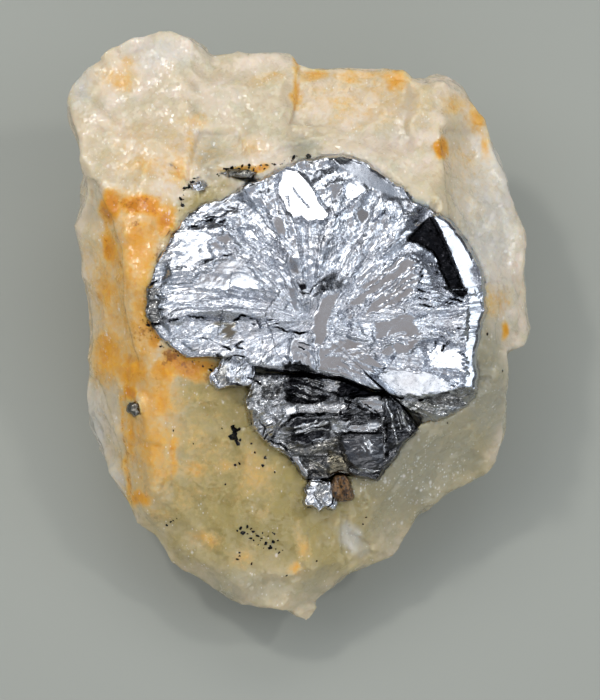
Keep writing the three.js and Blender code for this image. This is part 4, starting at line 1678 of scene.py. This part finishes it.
    def roughness(self, face: FacePoints) -> np.ndarray:
        """The crumpled face's heights over its plates: pleats from the hub, and foil creases between them.

        Args:
            face: The face's points.

        Returns:
            One height for each point.
        """
        places, radius = face.places, face.radius
        turn = self.bent(face) + 0.08 * soft_noise(places, 3.0, 61) + 0.03 * soft_noise(places, 1.1, 62)
        along = radius + 0.8 * soft_noise(places, 2.0, 63)
        fan = smooth_step(1.0, 4.0, radius) * (1 - covered(self.crumples, places))
        rough = np.zeros(len(places))
        for height, width, length, seed in self.pleat_rows:
            rough += height * fan * pleats(turn, along, width, length, seed)
        across, up = places.T
        sway = 0.5 * soft_noise(places, 1.6, 64)
        rough += 0.24 * (1 - fan) * creased_noise((across + sway) / 1.5, (up - sway) / 1.0, 6)
        rough += 0.13 * (1 - 0.7 * fan) * creased_noise((across + sway) / 0.62, (up + sway) / 0.5, 7)
        rough += 0.022 * creased_noise(across / 0.28, up / 0.28, 8)
        return rough


@dataclass
class LowerBook(FoilCrystal):
    """The darker book of plates below the rosette."""

    node: str = "molybdenite_lower_book"
    name: str = "lower_book"
    slot: Slot = Slot.DARK
    middle: tuple[float, float] = (2.6, -7.0)
    columns: int = 560
    rings: int = 90
    ragged: float = 0.06
    patches: Sequence[Patch] = (
        # the painted black shadow under the rosette, and the crumpled chunk at the upper left, painted dark
        # as shade
        Patch((2, -2.6, 4.1, -3, 6.2, -3.6, 8.5, -3.5, 8.4, -4.4, 6.4, -4.3, 3.6, -4.4, 2.3, -3.9), sink=0.3,
            black_and_shadow=0.95, shade=1, combed=0.3),
        Patch((-1.2, -2.3, 0, -2.1, 1.8, -2.3, 2.2, -2.8, 2.6, -4.6, 1.6, -4.9, 0, -4.8, -1.1, -4.6),
            slope=(0.1, 0.4), black_and_shadow=0.62, shade=0.9, calm=-0.8, combed=0.4),
        Patch((1.8, -2.4, 3.4, -2.7, 3.6, -3.9, 2.2, -3.7), slope=(0.2, -0.1), calm=-0.5, black_and_shadow=0.2,
            combed=0.3),
        # the plates across the middle, some painted a little darker as shade
        Patch((-0.3, -4.9, 2.7, -4.7, 4.2, -5, 3.6, -5.7, 0, -5.9, -0.5, -5.8), slope=(0.04, -0.05), calm=0.8,
            shade=0.25, combed=0.5),
        Patch((-1.6, -5.2, -0.9, -4.9, -0.2, -5, -0.4, -5.9, -1.5, -6), slope=TO_KEY, calm=0.7, combed=0.2),
        Patch((5, -4.4, 7.5, -4.2, 7.8, -5.5, 6.9, -5.9, 5.6, -5.3), slope=(0.02, 0), calm=0.75, shade=0.3,
            combed=0.4),
        Patch((4, -6.8, 6.5, -6.7, 6.4, -7.5, 4.1, -7.5), slope=(0.02, 0.05), calm=0.8, shade=0.25,
            combed=0.4),
        Patch((6, -6.5, 7.3, -6.4, 7.5, -7.4, 6.2, -7.3), slope=(0.28, -0.2), calm=0.5, combed=0.3),
        Patch((2.4, -6.5, 4.4, -6.3, 4.4, -7.3, 2.7, -7.4), slope=(0.2, -0.15), combed=0.4),
        # the hollow left of the middle, painted dark as its shade, and the olive crumple under it, partly
        # painted dark
        Patch((-0.8, -6.4, 0.9, -6, 2.4, -6.2, 2.6, -7.3, 2, -8.3, 0.5, -8.7, -0.8, -8.5), slope=(-0.2, 0.4),
            black_and_shadow=0.6, shade=0.9, combed=0.4),
        Patch((-1.5, -8.3, 0.5, -8.8, 3.6, -7.9, 3.8, -9.6, 0, -9.6, -0.9, -9.3), tint=0.6, black_and_shadow=0.34,
            shade=0.6, combed=0.3),
        # the knob at the lower right, painted dark as shade, its bright spot, and the layers under it,
        # painted dark too
        Patch((3.6, -7.7, 5.9, -7.4, 7.6, -7.5, 8, -8.9, 7.8, -10.2, 7.1, -10.8, 5.6, -11, 4.5, -10.6,
            3.9, -9.6), slope=(-0.02, 0.05), calm=0.5, black_and_shadow=0.28, shade=0.95, dome=0.13, sink=-0.3,
            combed=0.3),
        Patch((4.1, -10.5, 5.6, -11, 7.6, -10.4, 7.6, -11.1, 6.8, -11.7, 4.5, -11.3), slope=(-0.1, 0.3),
            black_and_shadow=0.42, shade=0.9, combed=0.3),
        # the hatched wedge at the right, painted dark as shade
        Patch((7.8, -4.4, 8.5, -4.1, 10.8, -7.2, 9.2, -8.5, 8.5, -9.6, 8, -9.6, 7.6, -6.8), slope=(-0.5, 0.2),
            black_and_shadow=0.5, shade=0.95, combed=0.2),
        # the stem, partly painted dark as shade
        Patch((0, -9.6, 2.7, -9.7, 3.6, -10.9, 2.4, -11.7, 0.5, -11.7), slope=(0.1, 0.2), black_and_shadow=0.4, tint=0.6,
            shade=0.75, calm=-0.3, combed=0.2),
        Patch((-0.9, -9.6, -0.1, -9.6, 1, -11.2, 0.7, -11.7, 0.3, -11.6), slope=(0.05, 0.05), calm=0.8,
            shade=0.15, combed=0),
        Patch((2.4, -9.2, 4, -9.6, 4.7, -11.3, 3.5, -11.3, 2.5, -11.7), black_and_shadow=0.4, tint=1, shade=0.45,
            combed=0.2),
        # hollows in the left lobe, painted dark as their shade
        Patch((-3.8, -3.3, -1.5, -3.1, -1.3, -4.1, -3.1, -4.3), black_and_shadow=0.5, tint=0.3, shade=0.6, combed=0.3),
        Patch((-3.1, -5.3, -1.4, -4.3, -1.1, -4.6, -2.5, -5.5), black_and_shadow=0.5, shade=0.6, combed=0.3),
        Patch((-2.5, -6.2, -1.8, -5.8, -1.5, -6.4, -2.2, -6.9), black_and_shadow=0.5, shade=0.6, combed=0.3),
    )
    creases: Sequence[Crease] = (
        Crease((8.4, -3.6, 9.5, -5, 10.9, -6.9), 0.3, 0.5),
        Crease((-0.9, -6, 2.7, -5.8, 4.7, -6.1, 7.1, -5.9), 0.2, 0.35, 0.6),
        Crease((2.7, -6.4, 4.7, -6.4, 7.7, -6.1), 0.14, 0.25, 0.6),
        Crease((3.6, -4.5, 4.7, -4.9, 5.6, -5.4, 6.5, -5.8), 0.16, 0.3, 0.6),
        Crease((5, -4.5, 5.9, -5, 6.9, -5.6), 0.1, 0.15),
        Crease((-2.9, -8.2, -1.8, -7.1, -0.9, -6.2, 0.5, -5.7, 1.8, -5.8), 0.14, 0.25, 0.6),
        Crease((-2.7, -8.2, -1.6, -8.7, -0.7, -9.3), 0.16, 0.25, 0.6),
        Crease((3.5, -7.6, 5, -7.6, 7.7, -7.5), 0.14, 0.3, 0.6),
        Crease((7.7, -4.5, 8.3, -5.9, 8.7, -7.3, 9, -8.5), 0.16, -0.2),
        Crease((7.5, -6.1, 7.7, -7.9, 7.7, -9.7), 0.1, -0.12),
        Crease((8, -6.2, 7.9, -8, 8, -9.6), 0.14, 0.2),
    )
    streaks: Sequence[Streaks] = (
        Streaks((-1, -2.8), (2.6, -4.2), 1.8, 14, 0.12, 0.07),
        Streaks((-0.8, -7.6), (2.4, -6.6), 1.2, 8, 0.08), Streaks((-0.6, -5.3), (4, -5.3), 0.7, 6, 0.05),
        Streaks((5.6, -8), (6.6, -9.2), 1.0, 8, 0.04), Streaks((8.4, -5), (9.6, -7.8), 1.2, 6, 0.08),
        Streaks((0.3, -8.6), (3.4, -8.6), 0.8, 5, 0.06), Streaks((4.2, -10.9), (7.4, -10.9), 0.5, 4, 0.06),
        Streaks((0.6, -10), (2.6, -11.4), 0.8, 4, 0.06),
    )

    def darkening(self, face: FacePoints) -> np.ndarray:
        """How much painted shade darkens the face between its named plates: more to the right."""
        across = face.places[:, 0]
        return 0.05 + 0.73 * smooth_step(-2.2, -0.8, across) + 0.1 * smooth_step(3, 7, across)

    def grain(self, face: FacePoints) -> np.ndarray:
        """Which way the fine striations run: numbers across and along them, in millimetres."""
        return face.places.T[::-1]

    def comb(self, face: FacePoints) -> np.ndarray:
        """How far the plates' edges are drawn out along the striations."""
        reach = 0.8 * creased_noise(face.places[:, 0] / 2.5, face.places[:, 1] / 0.3, 78)
        return np.stack([reach, 0.1 * reach], axis=1)

    def roughness(self, face: FacePoints) -> np.ndarray:
        """The layered face's heights over its plates.

        Args:
            face: The face's points.

        Returns:
            One height for each point.
        """
        places = face.places
        across, up = places.T
        sway = 0.35 * soft_noise(places, 2.0, 71) + 0.1 * soft_noise(places, 0.7, 72)
        rough = 0.26 * creased_noise(across / 3.0, (up + sway) / 0.8, 73)
        rough += 0.12 * creased_noise(across / 1.2, (up + sway) / 0.33, 74)
        left = smooth_step(-0.8, -2.2, across)
        lumps = creased_noise((across + sway) / 0.75, (up - sway) / 0.6, 75)
        rough = rough * (1 - 0.7 * left) + 0.38 * left * lumps
        small = creased_noise((across - sway) / 0.36, (up + sway) / 0.3, 77)
        return rough + 0.05 * creased_noise(across / 0.3, up / 0.2, 76) + 0.18 * left * small


@dataclass
class TipCrystal(FoilCrystal):
    """The small bright crystal under the lower book."""

    node: str = "molybdenite_tip_crystal"
    name: str = "tip_crystal"
    middle: tuple[float, float] = (1.65, -13.2)
    grow: float = 0.35
    hold: float = 0.4
    patches: Sequence[Patch] = (
        Patch((1.5, -12.1, 2.7, -12, 2.8, -13.6, 1.8, -14.4, 1.4, -13.4), tint=0.4, shade=0.4, black_and_shadow=0.2,
            edge=0.2),
        Patch((0.7, -11.6, 1.7, -11.6, 1.7, -12.3, 0.7, -12.4), slope=TO_KEY, calm=0.7, edge=0.15),
        Patch((0.4, -12.5, 1.4, -12.5, 1.5, -13.9, 1, -14.3, 0.4, -13.6), slope=TO_KEY, calm=0.6, edge=0.15),
        Patch((1.8, -13.3, 2.5, -12.9, 2.5, -13.6, 2, -13.9), calm=0.7, edge=0.15),
    )


@dataclass
class LeftKnob(FoilCrystal):
    """The small knob under the rosette's lower left edge."""

    node: str = "molybdenite_left_knob"
    name: str = "left_knob"
    middle: tuple[float, float] = (-6.35, -2.45)
    ragged: float = 0.35
    grow: float = 0.2
    lean: tuple[float, float] = (0.8, 1.0)
    hold: float = 0.4
    patches: Sequence[Patch] = (
        Patch((-6.9, -1.2, -6.4, -1.4, -6.6, -2.3, -6.4, -3.2, -6.9, -3.4, -7.7, -2.4), tint=0.5, black_and_shadow=0.35,
            shade=0.2, edge=0.15),
        Patch((-6.5, -3, -5, -3, -5, -3.7, -6.5, -3.7), black_and_shadow=0.6, shade=0.5, edge=0.15),
        Patch((-6.3, -1.5, -5.2, -1.5, -5.1, -2.2, -6, -2.3), slope=(0.25, -0.2), calm=0.3, edge=0.2),
        Patch((-6.2, -2.4, -5.3, -2.4, -5.4, -3, -6.2, -3), slope=(0.05, 0), calm=0.6, tint=0.6, edge=0.2),
    )


@dataclass
class MicaBook(FoilCrystal):
    """The small brown book of flakes."""

    node: str = "mica_book"
    name: str = "mica"
    slot: Slot = Slot.MICA
    middle: tuple[float, float] = (4.0, -12.75)
    grow: float = 0.35
    columns: int = 160
    rings: int = 24
    hold: float = 0.2

    def roughness(self, face: FacePoints) -> np.ndarray:
        """The flaky face's heights, in upright ribs.

        Args:
            face: The face's points.

        Returns:
            One height for each point.
        """
        across, up = face.places.T
        ribs = 0.14 * creased_noise((across + 0.3 * up) / 0.22, up / 1.4, 10)
        return ribs + 0.08 * creased_noise(across / 0.2, up / 0.3, 12)


@dataclass
class EdgeFlakeLeft(FoilCrystal):
    """The thin flake beside the rosette's upper left edge."""

    node: str = "molybdenite_edge_flake_left"
    name: str = "edge_flake_left"
    middle: tuple[float, float] = (-9.2, 14.8)
    ragged: float = 0.2
    columns: int = 120
    rings: int = 16
    hold: float = 0.15
    patches: Sequence[Patch] = (
        Patch((-9.3, 15.7, -8.5, 15.7, -8.4, 14.9, -9.2, 14.8), slope=TO_KEY, calm=0.7, edge=0.15),
    )


@dataclass
class EdgeFlakeRight(FoilCrystal):
    """The longer flake above it."""

    node: str = "molybdenite_edge_flake_right"
    name: str = "edge_flake_right"
    middle: tuple[float, float] = (-5.7, 16.1)
    ragged: float = 0.2
    columns: int = 160
    rings: int = 20
    hold: float = 0.15
    patches: Sequence[Patch] = (
        Patch((-6.6, 16.2, -3.2, 16.3, -3.2, 15, -6.6, 15), tint=0.7, shade=0.4, edge=0.2),
        Patch((-6.6, 17.2, -3.2, 17.2, -3.2, 16, -6.6, 16), tint=0.9, shade=0.5, black_and_shadow=0.35, edge=0.2),
        Patch((-7.6, 16.4, -6.6, 16.3, -6.5, 15.4, -7.5, 15.2), slope=TO_KEY, calm=0.6, edge=0.15),
    )


@dataclass
class StrayFlake(FoilCrystal):
    """The small grey flake on the quartz at the left."""

    node: str = "molybdenite_stray_flake"
    name: str = "stray_flake"
    slot: Slot = Slot.DARK
    middle: tuple[float, float] = (-14.9, -5.4)
    grow: float = 0.15
    crumple: float = 0.6
    lying: float = 0.15
    columns: int = 120
    rings: int = 16
    hold: float = 0.15
    patches: Sequence[Patch] = (
        Patch((-16, -4.4, -13.8, -4.4, -13.8, -6.4, -16, -6.4), slope=(0.04, 0.02), black_and_shadow=0.35, tint=0.8,
            shade=0.5),
    )


@dataclass
class Grains:
    """Dark grains scattered on the quartz."""

    spots: Rows = (
        (-6.15, -6.95, 0.22), (-6.05, -7.15, 0.3), (-5.8, -7.3, 0.3), (-5.5, -7.2, 0.22), (-5.85, -7.6, 0.3),
        (-6, -7.9, 0.34), (-5.85, -8.1, 0.32), (-5.65, -8.4, 0.25), (-5.4, -8.15, 0.18), (-5.85, -10.4, 0.15),
        (-3.2, -9.8, 0.2), (-3.4, -10.5, 0.2), (-5.5, -10.3, 0.15), (-4.1, -9.3, 0.12), (-4.4, -8.5, 0.12),
        (-6.8, -12.2, 0.12), (-7.1, -7.1, 0.11), (-11.5, -7.3, 0.12), (-9.7, -8.5, 0.11), (-2.3, -11.1, 0.1),
        (-1.2, -20.5, 0.11), (1.5, -19.2, 0.11), (6, -15.2, 0.13), (5.7, -15.8, 0.11), (13.4, -6.6, 0.11),
        (17, 1.4, 0.2), (18.4, -1.9, 0.11), (-9.6, 15.6, 0.12), (-5.5, -18.4, 0.12), (-5.5, -18.7, 0.11),
        (-5.7, -19, 0.13), (-4.4, -19.4, 0.11),
    )
    trails: Sequence[tuple[Line, int, float]] = (
        ((-10.9, 11.3, -10.9, 12.9, -10.5, 14.7, -9, 15.2), 26, 0.5),
        ((-7.8, 15.9, -5.6, 16.6, -3, 16.6, -0.9, 17.3, 1, 17.7), 44, 0.4),
        ((-14.2, 3.8, -13.9, 1.8, -12.3, 0.3, -10.4, -0.7, -8.4, -1.4, -7.6, -1.9, -5, -2), 40, 0.6),
    )
    cluster: Line = (
        -5.7, -16.4, -5.4, -16.2, -4.8, -16, -4.5, -16.3, -4.4, -16.2, -4.2, -16.5, -4, -16.7, -3.8, -16.9,
        -4.5, -17.1, -4.2, -17.3, -3.8, -17.7, -3.4, -16.6, -2.9, -16.9, -2.5, -16.6, -2.3, -16.7, -2, -17.3,
        -2.4, -17.4, -3.1, -17.5, -2.7, -17.8, -2.7, -18, -2.2, -18.1, -1.6, -18.2, -1.9, -18.4, -3.6, -17.3,
        -3.3, -18, -4.8, -16.7, -3.5, -17.1, -5.2, -16.6,
    )
    dashes: Line = (-12.1, -15.9, -11.7, -15.6, -11.5, -15.5, -11.2, -15.3)
    seed: int = 7

    def build(self, stone: bpy.types.Object, material: bpy.types.Material) -> bpy.types.Object:
        """Makes all grains as one mesh.

        Args:
            stone: The finished quartz, which they sit on.
            material: Their material.

        Returns:
            The grains.
        """
        random = np.random.default_rng(self.seed)
        loose = np.reshape((*self.cluster, *self.dashes), (-1, 2))
        small = [(across, up, 0.07 + 0.18 * random.random() ** 2) for across, up in loose]
        for line, count, spread in self.trails:
            ends = np.reshape(line, (-1, 2))
            for _ in range(count):
                k = random.integers(len(ends) - 1)
                at = ends[k] + random.random() * (ends[k + 1] - ends[k]) + spread * (random.random(2) - 0.5)
                small.append((at[0], at[1], 0.05 + 0.2 * random.random() ** 3))
        spots = np.array([*self.spots, *small])
        outs = Surface(stone).out_at(spots[:, :2])
        ring = np.column_stack([directions(np.arange(6) * math.pi / 3), np.zeros(6)])
        corners = np.vstack([ring, [0, 0, 1], [0, 0, -1]])
        points: list[np.ndarray] = []
        faces: list[tuple[int, ...]] = []
        for (across, up, size), out in zip(spots, outs):
            if math.isnan(out):
                continue
            start = len(points) * len(corners)
            sides = np.array([1.2 * size, 0.8 * size, 0.5 * size])
            grown = corners * (0.55 + 0.9 * random.random((8, 1))) * sides
            turn = random.random() * math.pi
            cosine, sine = math.cos(turn), math.sin(turn)
            spin = np.array([[cosine, sine, 0], [-sine, cosine, 0], [0, 0, 1]])
            points.append(np.array([across, up, out]) + grown @ spin)
            for k in range(6):
                a, b = start + k, start + (k + 1) % 6
                faces += [(a, b, start + 6), (b, a, start + 7)]
        piece = make_piece("dark_grains", FACE.to_part(np.vstack(points)), faces)
        # the grains' own dark colour, through the same layers as the painted shade
        for name, value in (("black_and_shadow", 0.6), ("tint", 1.0), ("shade", 0.3)):
            write_layer(piece.data, name, np.full(len(piece.data.vertices), value))
        dress(piece, material, Slot.DARK)
        return piece


@dataclass(frozen=True)
class Panel:
    """A soft light panel, by the direction that it shines from."""

    name: str
    across: float
    up: float
    distance: float
    size: tuple[float, float]
    brightness: float
    colour: Colour = (1.0, 1.0, 1.0)

    def build(self, centre: Vector) -> bpy.types.Object:
        """Makes the light.

        Args:
            centre: What it points at, in metres.

        Returns:
            The light.
        """
        slope = np.array([math.tan(math.radians(self.across)), math.tan(math.radians(self.up)), 1.0])
        way = Vector(slope / np.linalg.norm(slope) @ FACE.axes)
        light = bpy.data.lights.new(self.name, "AREA")
        light.shape = "RECTANGLE"
        light.size, light.size_y = (side * MM for side in self.size)
        light.energy = self.brightness * math.pi * light.size * light.size_y
        light.color = self.colour
        lamp = add_object(self.name, light)
        lamp.location = centre + way * self.distance * MM
        lamp.rotation_euler = way.to_track_quat("Z", "Y").to_euler()
        lamp.visible_camera = False
        return lamp


@dataclass
class Studio:
    """The camera, the pale floor and the soft light."""

    image_long_side: float = 700.0
    focal_pixels: float = 2090.0
    sensor: float = 36.0
    floor_side: float = 4.0
    horizon: Colour = (0.05, 0.05, 0.055)
    overhead: Colour = (0.47, 0.53, 0.62)
    behind_eye: Colour = (0.46, 0.42, 0.40)
    panels: Sequence[Panel] = (
        Panel("key_panel", -34, 26, 260, (165, 165), 1.65, (1.0, 0.99, 0.97)),
        Panel("right_panel", 44, 12, 260, (110, 160), 1.85, (0.86, 0.93, 1.0)),
        Panel("back_panel", 6, 52, 280, (200, 90), 2.0),
        Panel("low_panel", 12, -46, 280, (190, 110), 1.6, (1.0, 0.98, 0.95)),
        Panel("key_lamp", -26, 34, 260, (24, 24), 66.0, (1.0, 0.99, 0.97)),
        Panel("side_lamp", 34, 24, 260, (20, 20), 58.0, (1.0, 0.99, 0.97)),
    )

    def build(self) -> None:
        """Makes everything round the specimen."""
        self.add_camera()
        self.add_floor()
        self.add_world()
        for panel in self.panels:
            panel.build(Vector(FACE.centre * MM))
        bpy.context.scene.view_settings.view_transform = "Standard"

    def add_camera(self) -> None:
        """Puts the camera where the eye is."""
        data = bpy.data.cameras.new("camera")
        data.sensor_width = self.sensor
        data.sensor_fit = "AUTO"
        data.lens = self.focal_pixels / self.image_long_side * self.sensor
        data.clip_start = 0.01
        data.clip_end = 10.0
        camera = add_object("camera", data)
        camera.location = FACE.eye
        camera.rotation_euler = Vector(FACE.axes[2]).to_track_quat("Z", "Y").to_euler()
        bpy.context.scene.camera = camera

    def add_floor(self) -> None:
        """Lays the floor under the stone."""
        half = self.floor_side / 2
        corners = np.array([[-half, -half, 0], [half, -half, 0], [half, half, 0], [-half, half, 0]])
        floor = make_piece("floor", corners, [(0, 1, 2, 3)])
        floor.data.materials.append(FloorFinish().material())

    def add_world(self) -> None:
        """Lights the room: grey overhead, warmer and dimmer behind the eye, and dark towards the horizon."""
        world = bpy.data.worlds.new("room")
        bpy.context.scene.world = world
        world.use_nodes = True
        shader = Shader(world.node_tree)
        way = shader.node("ShaderNodeTexCoord").value("Generated")
        inputs = {0: way, 1: tuple(FACE.axes[2])}
        facing = shader.node("ShaderNodeVectorMath", {"operation": "DOT_PRODUCT"}, inputs).value("Value")
        colour = shader.mix(facing.step(0.15, 0.72), self.horizon, self.overhead)
        colour = shader.mix(facing.step(0.93, 0.985), colour, self.behind_eye)
        background = shader.node("ShaderNodeBackground", {}, {"Color": colour, "Strength": 1.0})
        shader.node("ShaderNodeOutputWorld", {}, {"Surface": background.value("Background")})


def main() -> None:
    """Builds the specimen and its studio."""
    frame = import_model()
    Studio().build()
    LOG.info("studio")
    bright = MolybdeniteFinish("bright_molybdenite").material()
    dark = MolybdeniteFinish(
        "dark_molybdenite", silver=(0.60, 0.60, 0.61), tarnish=(0.38, 0.37, 0.35), smoothness=0.16).material()
    mica = MicaFinish().material()
    crystals = (
        (Rosette(), bright),
        (LowerBook(), dark),
        (TipCrystal(), bright),
        (LeftKnob(), bright),
        (EdgeFlakeLeft(), bright),
        (EdgeFlakeRight(), bright),
        (StrayFlake(), dark),
        (MicaBook(), mica),
    )
    for crystal, material in crystals:
        piece = crystal.build(frame, material)
        LOG.info("%s: %d faces", crystal.name, len(piece.data.polygons))
    stone = QuartzMatrix().build(frame, [crystal for crystal, _ in crystals])
    LOG.info("quartz: %d faces", len(stone.data.polygons))
    Grains().build(stone, dark)
    LOG.info("grains")


if __name__ == "__main__":
    logging.basicConfig(level=logging.INFO, format="%(message)s")
    main()
